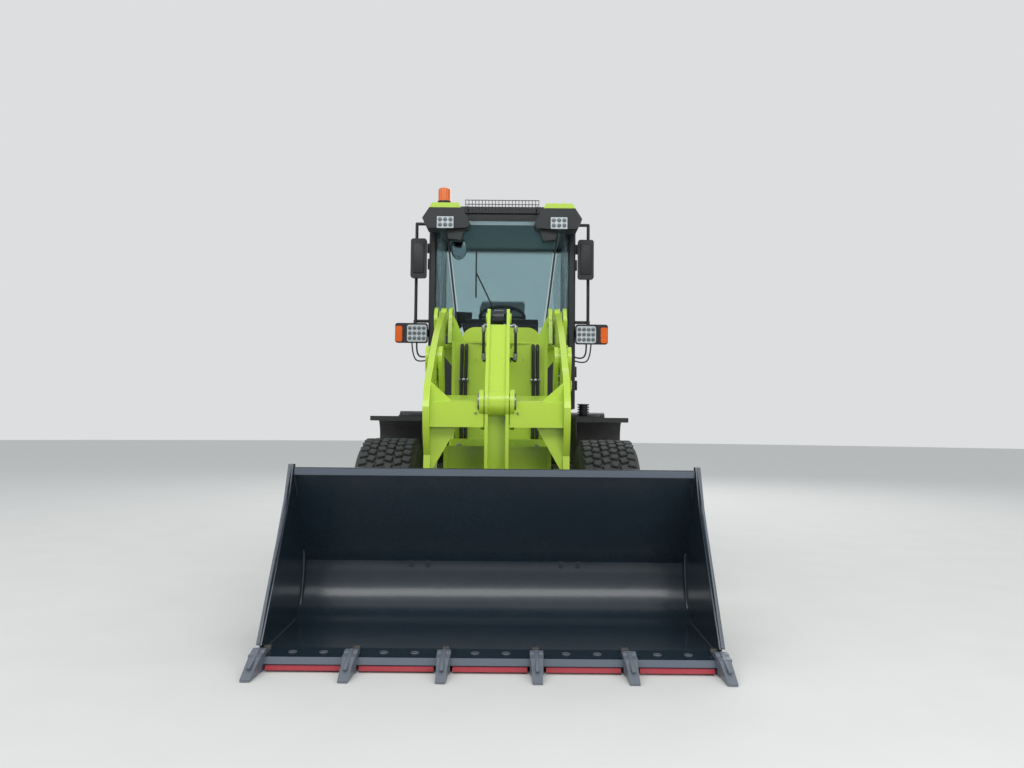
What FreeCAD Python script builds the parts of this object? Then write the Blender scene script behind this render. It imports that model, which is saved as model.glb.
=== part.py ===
import FreeCAD, Part
import os
from math import acos, atan2, cos, hypot, pi, sin

# A compact articulated wheel loader with a Z-bar linkage, in millimetres.
# +Z is up, the front of the machine looks along -Y and +X is its left side.
# Side sizes are written as (u, z): u runs rearwards from the front axle and z up from the ground.
# The machine is drawn straight, with its bucket flat on the ground.
os.makedirs("parts", exist_ok=True)

# Running gear
TYRE_R = 525
TYRE_W = 410
TREAD_W = 340
TREAD_ROUND = 22
BEAD_R = 262
BEAD_INSET = 25
RIM_WALL = 12
RIM_WELL_R = 235
DISH_T = 14
DISH_STEP = 60
HUB_R = 130
HAND_HOLES = 8
HAND_HOLE_R = 22
HAND_HOLE_CIRCLE = 196
TRACK = 1470
WHEELBASE = 2500
AXLE_Z = TYRE_R
AXLE_TUBE_R = 72
DIFF_R = 165
DIFF_W = 300
DIFF_ROUND = 45
AXLE_PAD_Z = 640
AXLE_PAD_HALF = 70

# Overall reach, which sets where the front axle stands
TOOTH_REACH = 1970
TAIL_REACH = 3900
FRONT_AXLE_Y = (TOOTH_REACH - TAIL_REACH) / 2

# Centre hitch
HITCH_U = WHEELBASE / 2
HITCH_PIN_R = 32
TONGUE_T = 40
TONGUE_R = 105
FORK_T = 30
HITCH_GAP = 5
HITCH_TOP_Z = 1010
HITCH_LOW_Z = 470

# Front frame with its tower
FRAME_HALF = 345
PLATE_T = 25
THIN_T = 16
TOWER_FRONT_U = 200
TOWER_TOP_Z = 1750
TOWER_BACK_U = 620
TOP_PLATE_T = 14
TOP_PLATE_HALF = 505
WING_U = 405
NOSE_U = -410
NOSE_TOP_Z = 1010
NOSE_FLANGE = 240
SILL_Z = 410
SLOT_HALF = 75
SHELF_Z = 1270
REAR_WALL_U = 735
HITCH_CHEEK_U = 860

# Boom: its pivots and the two arm plates
PIVOT_U = 450
PIVOT_Z = 1920
BUCKET_PIN_U = -860
BUCKET_PIN_Z = 270
ARM_X = 421.5
ARM_T = 40
ARM_BOSS_R = 85
BOOM_PIN_R = 32
BUCKET_PIN_R = 30
PIN_CAP_R = 100
PIN_CAP_T = 30
PIN_HEAD = 8
EAR_R = 110
EAR_T = 27
EAR_GAP = 16
CROSS_LOW_Z = 1130
CROSS_HIGH_Z = 1280
CROSS_TUBE_R = 76
GUSSET_T = 16

# Lift cylinders, in the plane of the arms
LIFT_TOP_U = -200
LIFT_TOP_Z = 1410
LIFT_FOOT_U = 700
LIFT_FOOT_Z = 900
LIFT_BARREL_R = 52
LIFT_ROD_R = 27
LIFT_EYE_R = 58
LIFT_EYE_HALF = 28
LIFT_FOOT_HALF = 57
LIFT_PIN_R = 25
LIFT_LUG_R = 78
LIFT_LUG_T = 26
LIFT_BARREL_SHARE = 0.86

# Z-bar: rocker pivot, link pins and tilt cylinder pins
ROCKER_U = -710
ROCKER_Z = 1280
LINK_LOW_U = -680
LINK_LOW_Z = 390
LINK_BUCKET_U = -920
LINK_BUCKET_Z = 497
TILT_ROD_U = -360
TILT_ROD_Z = 1840
TILT_FOOT_U = 670
TILT_FOOT_Z = 1620
ROCKER_HALF = 72.5
ROCKER_T = 20
ROCKER_BOSS_R = 92
ROCKER_PIN_R = 60
ROCKER_PIN_OUT = 42
ROCKER_WEB_T = 16
LINK_HALF = 45
LINK_BAR_HALF = 30
LINK_EYE_R = 38
LINK_PIN_R = 36
TILT_BARREL_R = 55
TILT_ROD_R = 28
TILT_EYE_R = 55
TILT_EYE_HALF = 32.5
TILT_PIN_R = 25
TILT_BARREL_SHARE = 0.72

# Bucket
BUCKET_HALF = 1100
BUCKET_SIDE_T = 20
CUTTER_T = 8
CUTTER_W = 46
BUCKET_WALL = 17
RIM_U = -1250
RIM_Z = 871
RIM_BAR = 37
SPIKE_Z = 930
BLADE_U = -1806
BLADE_Z = 30
BLADE_T = 28
BACK_LOW_U = -993
BACK_LOW_Z = 376
BACK_HIGH_U = -1190
BACK_HIGH_Z = 753
BUCKET_LUG_T = 26
BUCKET_LUG_GAP = 34

# Teeth and the bolt-on edge between them
TOOTH_COUNT = 6
TOOTH_W = 62
TOOTH_TIP_W = 44
TOOTH_TIP_T = 10
TOOTH_BOSS_H = 58
EDGE_T = 20
EDGE_DEPTH = 120
EDGE_GAP = 12

# Steering cylinder, beside the hitch
STEER_Z = 740
STEER_FOOT_X = -250
STEER_FOOT_U = HITCH_U + 550
STEER_EYE_X = -280
STEER_EYE_U = 880
STEER_BARREL_R = 34
STEER_ROD_R = 17
STEER_PIN_R = 20
STEER_EYE_R = 36
STEER_EYE_HALF = 36
STEER_LUG_T = 20
STEER_WINDOW = 52
STEER_BARREL_SHARE = 0.62

# Cab
CAB_HALF = 610
CAB_FRONT_U = 920
CAB_POST_U = 1050
CAB_BACK_U = 2130
CAB_FLOOR_Z = 1290
CAB_FLOOR_T = 30
CAB_ROOF_Z = 2880
CAB_ROOF_T = 52
CROWN_T = 42
POST = 60
POST_ROUND = 15
CORNER_HALF = 320
GLASS_T = 6
SHEET_T = 20
PANEL_ROUND = 110
SCREEN_FOOT_Z = 1945
SCREEN_TOP_HALF = 478
SCREEN_FOOT_HALF = 350
SILL_WINDOW_Z = 1900
DOOR_BACK_U = 1860
DOOR_T = 40
DOOR_FRAME = 50
DOOR_BAR_Z = 1780
WINDOW_ROUND = 45
SEAL_R = 8

# Roof pods with their lamps, and the wire guard between them
POD_FRONT_U = 760
POD_CAP_T = 40
LED_LENS_T = 14
ROOF_LAMP_X = 388
ROOF_LAMP_Z = 2716
LAMP_PITCH = 42
LAMP_CUP_R = 15
LAMP_CUP_DEPTH = 8
GUARD_HALF = 292
GUARD_BARS = 23
GUARD_WIRES = 4
GUARD_WIRE_R = 2.5
GUARD_LOW_Z = 2842
GUARD_HIGH_Z = 2940
GUARD_LEAN = 26
BEACON_X = -470
BEACON_R = 50
BEACON_H = 105

# Headlamps and mirrors on the front posts
HEAD_LAMP_X = 618
HEAD_LAMP_U = 1004
HEAD_LAMP_Z = 1830
HEAD_LAMP_W = 160
HEAD_LAMP_H = 140
HEAD_LAMP_DEPTH = 28
INDICATOR_W = 56
MIRROR_TUBE_X = 718
MIRROR_TUBE_R = 13
MIRROR_LOW_Z = 2360
MIRROR_HIGH_Z = 2690

# Rear frame, hood and counterweight
REAR_FRAME_HALF = 330
REAR_FRAME_FRONT_U = 1560
REAR_FRAME_BACK_U = TAIL_REACH - 280
REAR_FRAME_LOW_Z = 520
REAR_FRAME_FOOT_Z = 430
REAR_FRAME_TOP_Z = 960
CAB_MOUNT_X = 240
CAB_MOUNTS_U = (1720, 2180)
HOOD_HALF = 480
HOOD_FRONT_U = 2240
HOOD_BACK_U = TAIL_REACH - 120
HOOD_TOP_Z = 1900
HOOD_BACK_Z = 1700
HOOD_SILL_Z = 1120
HOOD_T = 6
HOOD_ROUND = 60
HOOD_BACK_ROUND = 150
LOUVRE_U = HOOD_FRONT_U + 320
LOUVRE_PITCH = 95
LOUVRE_W = 50
LOUVRE_LOW_Z = 1340
LOUVRE_HIGH_Z = 1570
GRILLE_HALF = 340
GRILLE_LOW_Z = 1180
GRILLE_HIGH_Z = 1540
GRILLE_BAR = 12
GRILLE_PITCH = 45
WEIGHT_HALF = 800
WEIGHT_LOW_Z = 560
WEIGHT_TOP_Z = 1110
WEIGHT_ROUND = 160
TAIL_LAMP_X = 470
TAIL_LAMP_Z = 900
TAIL_LAMP_W = 150
TAIL_LAMP_H = 80
TAIL_LAMP_T = 11
ENGINE_HALF = 260
EXHAUST_X = -200
EXHAUST_R = 32

# Tanks, steps and fenders
TANK_FRONT_U = HITCH_U + 170
TANK_BACK_U = WHEELBASE - TYRE_R - 75
TANK_HALF = 690
TANK_LOW_Z = 480
TANK_TOP_Z = 1235
DECK_T = 40
STEP_OUT = 900
STEP_T = 25
STEP_WALL = 8
STEP_LOW_Z = 500
STEP_PITCH = 240
STEP_COUNT = 3
FENDER_T = 6
FRONT_FENDER_IN = 556
FRONT_FENDER_OUT = 935
FRONT_FENDER_TOP_Z = 1207
REAR_FENDER_IN = 520
REAR_FENDER_OUT = 960
REAR_FENDER_TOP_Z = 1280
REAR_FENDER_LOW_Z = 1080
REAR_FENDER_HALF = 565

# Tie-down eyes, the tow pin and the lamp holes in the tower plate
TIE_R = 26
TIE_FRONT_U = -356
TIE_FRONT_Z = 958
TIE_REAR_U = REAR_FRAME_BACK_U - 80
TIE_REAR_Z = 600
TOW_R = 17
TOW_U = TAIL_REACH - 50
TOW_SLOT_HALF = 60
TOW_LOW_Z = 640
TOW_HIGH_Z = 740
TOW_TOP_Z = 790
LAMP_HOLE_R = 7
LAMP_HOLE_X = 169
LAMP_HOLE_Z = 1616

# Clearances
PIN_FIT = 0.05
EYE_GAP = 1.0
SEAT_GAP = 1.0


def at(x, u, z):
    return FreeCAD.Vector(x, FRONT_AXLE_Y + u, z)


def wire(points, place):
    """Close a wire through points; one with four numbers is an arc's middle and its end."""
    edges = []
    start = place(*points[0][-2:])
    for point in points[1:] + points[:1]:
        end = place(*point[-2:])
        if len(point) == 4:
            edges.append(Part.Arc(start, place(*point[:2]), end).toShape())
        elif (end - start).Length > 1e-6:
            edges.append(Part.LineSegment(start, end).toShape())
        start = end
    return Part.Wire(edges)


def side_plate(points, x0, x1):
    """A plate whose outline is drawn in side view, as (u, z), from x0 to x1."""
    face = Part.Face(wire(points, lambda u, z: at(x0, u, z)))
    return face.extrude(FreeCAD.Vector(x1 - x0, 0, 0))


def front_plate(points, u0, u1):
    """A plate whose outline is drawn in front view, as (x, z), from u0 to u1."""
    face = Part.Face(wire(points, lambda x, z: at(x, u0, z)))
    return face.extrude(FreeCAD.Vector(0, u1 - u0, 0))


def plan_plate(points, z0, z1):
    """A plate whose outline is drawn in plan, as (x, u), from z0 to z1."""
    face = Part.Face(wire(points, lambda x, u: at(x, u, z0)))
    return face.extrude(FreeCAD.Vector(0, 0, z1 - z0))


def block(x0, x1, u0, u1, z0, z1):
    return Part.makeBox(x1 - x0, u1 - u0, z1 - z0, at(x0, u0, z0))


def rounded_block(x0, x1, u0, u1, z0, z1, radius, along):
    """A block whose four edges along one axis (0, 1 or 2) are rounded."""
    body = block(x0, x1, u0, u1, z0, z1)
    chosen = []
    for edge in body.Edges:
        run = edge.Vertexes[1].Point - edge.Vertexes[0].Point
        if abs(run[along]) > 0.5:
            chosen.append(edge)
    return body.makeFillet(radius, chosen)


def rod(start, end, radius):
    """A round bar between two points."""
    return Part.makeCylinder(radius, (end - start).Length, start, end - start)


def cross_rod(u, z, radius, x0, x1):
    return rod(at(x0, u, z), at(x1, u, z), radius)


def upright_rod(x, u, radius, z0, z1):
    return rod(at(x, u, z0), at(x, u, z1), radius)


def bent_tube(points, radius):
    """A tube through points, with a ball at each bend."""
    shapes = [rod(start, end, radius) for start, end in zip(points, points[1:])]
    shapes += [Part.makeSphere(radius, point) for point in points[1:-1]]
    return joined(shapes)


def mirrored(shape):
    return shape.mirror(FreeCAD.Vector(0, 0, 0), FreeCAD.Vector(1, 0, 0))


def pair(shape):
    return [shape, mirrored(shape)]


def joined(shapes):
    body = shapes[0]
    if len(shapes) > 1:
        body = body.fuse(shapes[1:])
    return body.removeSplitter()


def capsule(u0, z0, r0, u1, z1, r1, x0, x1):
    """A lever between two round ends, in side view."""
    turn = atan2(z1 - z0, u1 - u0)
    spread = acos((r0 - r1) / hypot(u1 - u0, z1 - z0))

    def rim(u, z, r, angle):
        return (u + r * cos(turn + angle), z + r * sin(turn + angle))

    return side_plate([rim(u0, z0, r0, spread), rim(u1, z1, r1, spread),
                       rim(u1, z1, r1, 0) + rim(u1, z1, r1, -spread), rim(u0, z0, r0, -spread),
                       rim(u0, z0, -r0, 0) + rim(u0, z0, r0, spread)], x0, x1)


def save(node, shapes):
    shape = shapes[0] if len(shapes) == 1 else Part.makeCompound(shapes)
    shape.exportStep("parts/" + node + ".step")


def turned_about_axle(profile, side):
    """A ring turned about the axle from (x, r) points; side is 1 on the left and -1 on the right."""
    handed = [tuple(side * v if i % 2 == 0 else v for i, v in enumerate(point)) for point in profile]
    face = Part.Face(wire(handed, lambda x, r: FreeCAD.Vector(x, 0, r)))
    return face.revolve(FreeCAD.Vector(0, 0, 0), FreeCAD.Vector(1, 0, 0), 360)


def wheel_rim(side):
    """A pressed disc wheel: rim well, dish with hand holes, and hub."""
    inner = TRACK / 2 - TYRE_W / 2 + BEAD_INSET
    outer = TRACK / 2 + TYRE_W / 2 - BEAD_INSET
    disc = TRACK / 2 + 30
    face = disc + DISH_STEP
    profile = [(inner, BEAD_R), (inner, BEAD_R - RIM_WALL), (inner + 40, BEAD_R - RIM_WALL - 2),
               (inner + 60, RIM_WELL_R), (disc, RIM_WELL_R), (disc, HUB_R + 20),
               (face, HUB_R), (face, 0),
               (face + DISH_T, 0), (face + DISH_T, HUB_R + 6),
               (disc + DISH_T, HUB_R + 30), (disc + DISH_T, RIM_WELL_R + 2),
               (outer - 20, RIM_WELL_R + 12), (outer, BEAD_R - 8), (outer, BEAD_R)]
    rim = turned_about_axle(profile, side)
    holes = []
    for index in range(HAND_HOLES):
        angle = 2 * pi * index / HAND_HOLES
        centre = FreeCAD.Vector(side * (disc - 5), HAND_HOLE_CIRCLE * cos(angle),
                                HAND_HOLE_CIRCLE * sin(angle))
        holes.append(Part.makeCylinder(HAND_HOLE_R, DISH_T + 10, centre, FreeCAD.Vector(side, 0, 0)))
    return rim.cut(holes)


def tyre(side):
    """A radial loader tyre, a closed ring that sits on the rim."""
    half = TYRE_W / 2
    mid = TRACK / 2
    wall_r = (TYRE_R + BEAD_R) / 2
    shoulder_r = TYRE_R - TREAD_ROUND
    profile = [(mid - half + BEAD_INSET, BEAD_R), (mid - half, wall_r, mid - TREAD_W / 2, shoulder_r),
               (mid - TREAD_W / 2 + 8, TYRE_R - 7, mid - TREAD_W / 2 + 30, TYRE_R),
               (mid + TREAD_W / 2 - 30, TYRE_R),
               (mid + TREAD_W / 2 - 8, TYRE_R - 7, mid + TREAD_W / 2, shoulder_r),
               (mid + half, wall_r, mid + half - BEAD_INSET, BEAD_R)]
    return turned_about_axle(profile, side)


def build_wheels():
    for axle, u in (("front", 0), ("rear", WHEELBASE)):
        for hand, side in (("left", 1), ("right", -1)):
            for name, shape in (("rim", wheel_rim(side)), ("tyre", tyre(side))):
                shape.translate(at(0, u, AXLE_Z))
                save(name + "_" + axle + "_" + hand, [shape])


def axle_housing(u):
    """A drive axle: centre casing, arms and planetary hubs."""
    hub_face = TRACK / 2 + 30 + DISH_STEP - 2
    casing = cross_rod(u, AXLE_Z, DIFF_R, -DIFF_W / 2, DIFF_W / 2)
    casing = casing.makeChamfer(DIFF_ROUND, [edge for edge in casing.Edges if len(edge.Vertexes) == 1])
    pieces = [cross_rod(u, AXLE_Z, AXLE_TUBE_R, -hub_face + 80, hub_face - 80), casing,
              block(-ENGINE_HALF, ENGINE_HALF, u - AXLE_PAD_HALF, u + AXLE_PAD_HALF, AXLE_Z + 20,
                    AXLE_PAD_Z)]
    for sign in (1, -1):
        pieces.append(cross_rod(u, AXLE_Z, HUB_R - 12, sign * (hub_face - 190), sign * hub_face))
        pieces.append(cross_rod(u, AXLE_Z, HUB_R - 2, sign * (hub_face - 190), sign * (hub_face - 160)))
    return joined(pieces)


def build_axles():
    save("front_axle", [axle_housing(0)])
    save("rear_axle", [axle_housing(WHEELBASE)])


def hitch_tongue(z_mid):
    """A plate of the front frame that runs back to the hitch pin."""
    wide = FRAME_HALF - PLATE_T
    outline = [(-wide, HITCH_CHEEK_U - 80), (-wide, HITCH_CHEEK_U), (-TONGUE_R, HITCH_U - 40),
               (0, HITCH_U + TONGUE_R, TONGUE_R, HITCH_U - 40), (wide, HITCH_CHEEK_U),
               (wide, HITCH_CHEEK_U - 80)]
    plate = plan_plate(outline, z_mid - TONGUE_T / 2, z_mid + TONGUE_T / 2)
    bore = upright_rod(0, HITCH_U, HITCH_PIN_R + PIN_FIT, z_mid - TONGUE_T, z_mid + TONGUE_T)
    return plate.cut(bore)


def boom_ear(x0, x1, front_u):
    """One ear of the boom pivot with its boss, standing on the top plate."""
    outline = [(front_u, TOWER_TOP_Z), (PIVOT_U + EAR_R + 20, TOWER_TOP_Z), (PIVOT_U + EAR_R, PIVOT_Z),
               (PIVOT_U, PIVOT_Z + EAR_R, PIVOT_U - EAR_R, PIVOT_Z)]
    return side_plate(outline, x0, x1).fuse(cross_rod(PIVOT_U, PIVOT_Z, 62, x0, x1))


def tower_parts(inner):
    """The upper tower: top plate, pivot ears, front plates and the tilt cylinder's bracket."""
    ear_inner = ARM_X - ARM_T / 2 - EAR_GAP - EAR_T
    ear_outer = ARM_X + ARM_T / 2 + EAR_GAP + 8
    plate_low = TOWER_TOP_Z - TOP_PLATE_T
    outline = [(SLOT_HALF, TOWER_FRONT_U - 10), (FRAME_HALF + 4, TOWER_FRONT_U + 20),
               (FRAME_HALF + 12, WING_U),
               (TOP_PLATE_HALF, WING_U), (TOP_PLATE_HALF, TOWER_BACK_U), (SLOT_HALF, TOWER_BACK_U)]
    pieces = pair(plan_plate(outline, plate_low, TOWER_TOP_Z))
    pieces += pair(boom_ear(ear_inner, ear_inner + EAR_T, PIVOT_U - EAR_R - 30))
    pieces += pair(boom_ear(ear_outer, ear_outer + EAR_T, WING_U))
    pieces += pair(front_plate([(ear_inner, TOWER_TOP_Z), (ear_inner, PIVOT_Z + 60),
                                (ear_inner - 30, PIVOT_Z),
                                (ear_inner - 90, TOWER_TOP_Z + 25), (ear_inner - 120, TOWER_TOP_Z)],
                               PIVOT_U - 10, PIVOT_U + 10))
    pieces += pair(front_plate([(FRAME_HALF, plate_low), (TOP_PLATE_HALF - 20, plate_low),
                                (FRAME_HALF, plate_low - 170)],
                               TOWER_BACK_U - GUSSET_T, TOWER_BACK_U))
    face_u = TOWER_FRONT_U + 10
    front = front_plate([(SLOT_HALF + 10, NOSE_TOP_Z + 40), (inner, NOSE_TOP_Z + 40), (inner, plate_low),
                         (SLOT_HALF + 10, plate_low)], face_u, face_u + THIN_T)
    front = front.cut(rod(at(LAMP_HOLE_X, face_u - 1, LAMP_HOLE_Z),
                          at(LAMP_HOLE_X, face_u + THIN_T + 1, LAMP_HOLE_Z),
                          LAMP_HOLE_R))
    pieces += pair(front)
    pieces.append(block(-SLOT_HALF - 10, SLOT_HALF + 10, face_u, face_u + THIN_T, NOSE_TOP_Z + 40,
                        TILT_FOOT_Z - 20))
    bracket = side_plate([(TILT_FOOT_U - 150, SHELF_Z - THIN_T), (TILT_FOOT_U - 150, TILT_FOOT_Z + 40),
                          (TILT_FOOT_U - TILT_EYE_R, TILT_FOOT_Z),
                          (TILT_FOOT_U, TILT_FOOT_Z + TILT_EYE_R, TILT_FOOT_U + TILT_EYE_R, TILT_FOOT_Z),
                          (TILT_FOOT_U + 10, SHELF_Z - THIN_T)], SLOT_HALF, SLOT_HALF + 22)
    pieces += pair(bracket)
    pieces += pair(front_plate([(SLOT_HALF, SHELF_Z - THIN_T), (inner, SHELF_Z - THIN_T),
                                (inner, TILT_FOOT_Z + 20),
                                (SLOT_HALF, TILT_FOOT_Z + 20)], TILT_FOOT_U - 110, TILT_FOOT_U - 90))
    pieces += pair(cross_rod(PIVOT_U, PIVOT_Z, BOOM_PIN_R, ear_inner - PIN_HEAD,
                             ear_outer + EAR_T + PIN_HEAD))
    pieces.append(cross_rod(TILT_FOOT_U, TILT_FOOT_Z, TILT_PIN_R, -SLOT_HALF - 30, SLOT_HALF + 30))
    return pieces


def steer_lugs(low_u, high_u, low_x, high_x):
    """The two flat lugs above and below an eye of the steering cylinder."""
    lugs = []
    for low in (STEER_Z + STEER_EYE_HALF + EYE_GAP, STEER_Z - STEER_EYE_HALF - EYE_GAP - STEER_LUG_T):
        lugs.append(block(low_x, high_x, low_u, high_u, low, low + STEER_LUG_T))
    return lugs


def build_front_frame():
    outer = FRAME_HALF
    inner = FRAME_HALF - PLATE_T
    cheek_outline = [(NOSE_U, SILL_Z + 60), (NOSE_U, NOSE_TOP_Z), (NOSE_U + 200, NOSE_TOP_Z),
                     (TOWER_FRONT_U - 90, NOSE_TOP_Z + 60, TOWER_FRONT_U, NOSE_TOP_Z + 260),
                     (TOWER_FRONT_U, TOWER_TOP_Z), (TOWER_BACK_U, TOWER_TOP_Z),
                     (TOWER_BACK_U + 65, TOWER_TOP_Z - 90), (TOWER_BACK_U + 75, HITCH_TOP_Z + 260),
                     (TOWER_BACK_U + 150, HITCH_TOP_Z + 240), (HITCH_CHEEK_U, HITCH_TOP_Z + 60),
                     (HITCH_CHEEK_U, STEER_Z + 60), (HITCH_CHEEK_U - 70, STEER_Z + 60),
                     (HITCH_CHEEK_U - 70, STEER_Z - 60), (HITCH_CHEEK_U, STEER_Z - 60),
                     (HITCH_CHEEK_U, SILL_Z),
                     (330, SILL_Z), (280, AXLE_PAD_Z - 20, 210, AXLE_PAD_Z), (-210, AXLE_PAD_Z),
                     (-280, AXLE_PAD_Z - 20, -300, SILL_Z), (-330, SILL_Z)]
    cheek = side_plate(cheek_outline, inner, outer)
    cheek = cheek.cut(cross_rod(TIE_FRONT_U, TIE_FRONT_Z, TIE_R, inner - 1, outer + 1))
    pieces = pair(cheek) + tower_parts(inner)
    pieces.append(block(-inner, inner, NOSE_U + 230, TOWER_FRONT_U + 26, NOSE_TOP_Z - 10, NOSE_TOP_Z + 40))
    pieces.append(block(-inner, inner, NOSE_U + 6, NOSE_U + 6 + THIN_T, SILL_Z + 70, NOSE_TOP_Z))
    pieces.append(block(-inner, inner, NOSE_U, NOSE_U + NOSE_FLANGE, NOSE_TOP_Z - TOP_PLATE_T, NOSE_TOP_Z))
    pieces.append(block(-inner, inner, TILT_FOOT_U - 150, TILT_FOOT_U + 20, SHELF_Z - THIN_T, SHELF_Z))
    pieces.append(block(-inner, inner, REAR_WALL_U, REAR_WALL_U + 20, SILL_Z + 40, SHELF_Z - 30))
    pieces += steer_lugs(REAR_WALL_U + 15, STEER_EYE_U + 50, -inner, STEER_EYE_X + 55)
    cap_z = STEER_EYE_HALF + EYE_GAP + STEER_LUG_T
    for z0, z1 in ((STEER_Z + cap_z, STEER_Z + cap_z + 8), (STEER_Z - cap_z - 8, STEER_Z - cap_z)):
        pieces.append(upright_rod(STEER_EYE_X, STEER_EYE_U, STEER_PIN_R + 8, z0, z1))
    for z_mid in (HITCH_TOP_Z, HITCH_LOW_Z):
        pieces.append(hitch_tongue(z_mid))
    pieces += pair(lift_foot_bracket())
    save("front_frame", [joined(pieces)])


def lift_foot_bracket():
    """Two lugs beside the tower that carry a lift cylinder's foot pin."""
    low_z = LIFT_FOOT_Z - 200
    round_r = LIFT_EYE_R + 4
    outline = [(LIFT_FOOT_U - 150, low_z), (LIFT_FOOT_U + round_r, low_z),
               (LIFT_FOOT_U + round_r, LIFT_FOOT_Z),
               (LIFT_FOOT_U, LIFT_FOOT_Z + round_r, LIFT_FOOT_U - round_r, LIFT_FOOT_Z)]
    x_in = ARM_X - LIFT_FOOT_HALF - EYE_GAP
    x_out = ARM_X + LIFT_FOOT_HALF + EYE_GAP
    inner = side_plate(outline, FRAME_HALF, x_in)
    outer = side_plate(outline, x_out, x_out + LIFT_LUG_T)
    bottom = block(FRAME_HALF, x_out + LIFT_LUG_T, LIFT_FOOT_U - 150, LIFT_FOOT_U + round_r, low_z,
                   low_z + 20)
    pin = cross_rod(LIFT_FOOT_U, LIFT_FOOT_Z, LIFT_PIN_R, FRAME_HALF, x_out + LIFT_LUG_T + PIN_HEAD)
    return joined([inner, outer, bottom, pin])


def build_front_fenders():
    """Sheet fenders over the front tyres, with an inner skirt, on stays from the lift cylinders' brackets."""
    top = FRONT_FENDER_TOP_Z
    t = FENDER_T
    shell = side_plate([(250, top), (540, top), (664, top - 48, 702, top - 170), (702, 860), (702 - t, 860),
                        (702 - t, top - 170), (659, top - 52, 540, top - t), (250, top - t)],
                       FRONT_FENDER_IN, FRONT_FENDER_OUT)
    skirt = side_plate([(250, top - t), (540, top - t), (659, top - 52, 702 - t, top - 170), (702 - t, 868),
                        (480, 868), (380, 976, 250, 1062)], FRONT_FENDER_IN, FRONT_FENDER_IN + t)
    lip = block(FRONT_FENDER_IN, FRONT_FENDER_OUT, 250, 250 + t, top - 34, top)
    x_start = ARM_X + LIFT_FOOT_HALF + EYE_GAP + LIFT_LUG_T + SEAT_GAP
    stay = cross_rod(724, 862, 18, x_start, 690)
    strap = block(650, 700, 702, 714, 862, 1020)
    save("front_fenders", pair(joined([shell, skirt, lip, stay, strap])))


def arm_outline():
    """The banana-shaped arm, from the boom pivot to the bucket pin."""
    a = ARM_BOSS_R + 15
    return [(PIVOT_U + a, PIVOT_Z), (PIVOT_U + a * 0.2, PIVOT_Z + a, PIVOT_U - a, PIVOT_Z + a * 0.62),
            (-120, 1800, -570, 1500), (-700, 1410, -800, 1250), (-766, 1110, -692, 960), (-745, 600),
            (BUCKET_PIN_U - ARM_BOSS_R, BUCKET_PIN_Z + 30),
            (BUCKET_PIN_U, BUCKET_PIN_Z - ARM_BOSS_R, BUCKET_PIN_U + ARM_BOSS_R, BUCKET_PIN_Z + 40),
            (-560, 640), (-490, 860), (-480, 1060, -410, 1250), (LIFT_TOP_U - 130, LIFT_TOP_Z - 10),
            (LIFT_TOP_U - 100, LIFT_TOP_Z + 100), (LIFT_TOP_U + 20, LIFT_TOP_Z + 162),
            (LIFT_TOP_U + 270, LIFT_TOP_Z + 162), (PIVOT_U - 60, PIVOT_Z - a + 12),
            (PIVOT_U + 30, PIVOT_Z - a)]


def build_boom():
    x0 = ARM_X - ARM_T / 2
    x1 = ARM_X + ARM_T / 2
    arm = side_plate(arm_outline(), x0, x1)
    arm = arm.cut(cross_rod(LIFT_TOP_U, LIFT_TOP_Z, LIFT_EYE_R + 12, x0 - 1, x1 + 1))
    parts = [arm]
    gap0 = ARM_X - LIFT_EYE_HALF - EYE_GAP
    gap1 = ARM_X + LIFT_EYE_HALF + EYE_GAP
    high_u, high_z = LIFT_TOP_U - 80, LIFT_TOP_Z + 170
    for lug0, lug1 in ((gap0 - LIFT_LUG_T, gap0), (gap1, gap1 + LIFT_LUG_T)):
        parts.append(capsule(LIFT_TOP_U, LIFT_TOP_Z, LIFT_LUG_R, high_u, high_z, LIFT_LUG_R + 7, lug0,
                             lug1))
    parts.append(cross_rod(high_u, high_z, LIFT_LUG_R, gap0, gap1))
    parts.append(cross_rod(LIFT_TOP_U, LIFT_TOP_Z, LIFT_PIN_R + 12, gap1 + LIFT_LUG_T,
                           gap1 + LIFT_LUG_T + 12))
    parts.append(cross_rod(PIVOT_U, PIVOT_Z, ARM_BOSS_R, x0 - EAR_GAP + 6, x1 + EAR_GAP + 2))
    parts.append(cross_rod(BUCKET_PIN_U, BUCKET_PIN_Z, ARM_BOSS_R - 10, x0 - 8, x1 + 8))
    web_x = ROCKER_HALF + 5
    parts.append(side_plate([(-750, CROSS_LOW_Z), (-750, CROSS_HIGH_Z), (-720, CROSS_HIGH_Z + 12),
                             (-520, CROSS_HIGH_Z + 50),
                             (-440, CROSS_HIGH_Z - 30), (-440, CROSS_LOW_Z)], web_x, x0))
    parts.append(capsule(ROCKER_U, ROCKER_Z, 80, -500, 1210, 95, web_x, web_x + 28))
    parts.append(front_plate([(x0, CROSS_HIGH_Z), (x0, CROSS_HIGH_Z + 125), (x0 - 140, CROSS_HIGH_Z)],
                             -716, -716 + GUSSET_T))
    parts.append(front_plate([(x0, CROSS_LOW_Z), (x0 - 160, CROSS_LOW_Z), (x0, CROSS_LOW_Z - 280)],
                             -680, -680 + GUSSET_T))
    tube = cross_rod(-477, 1222, CROSS_TUBE_R, -web_x, web_x)
    body = joined(pair(joined(parts)) + [tube])
    bore_a = cross_rod(PIVOT_U, PIVOT_Z, BOOM_PIN_R + PIN_FIT, -600, 600)
    bore_b = cross_rod(BUCKET_PIN_U, BUCKET_PIN_Z, BUCKET_PIN_R + PIN_FIT, -600, 600)
    bore_half = ROCKER_HALF + ROCKER_PIN_OUT + EYE_GAP
    bore_r = cross_rod(ROCKER_U, ROCKER_Z, ROCKER_PIN_R + PIN_FIT, -bore_half, bore_half)
    save("boom", [body.cut([bore_a, bore_b, bore_r])])


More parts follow.
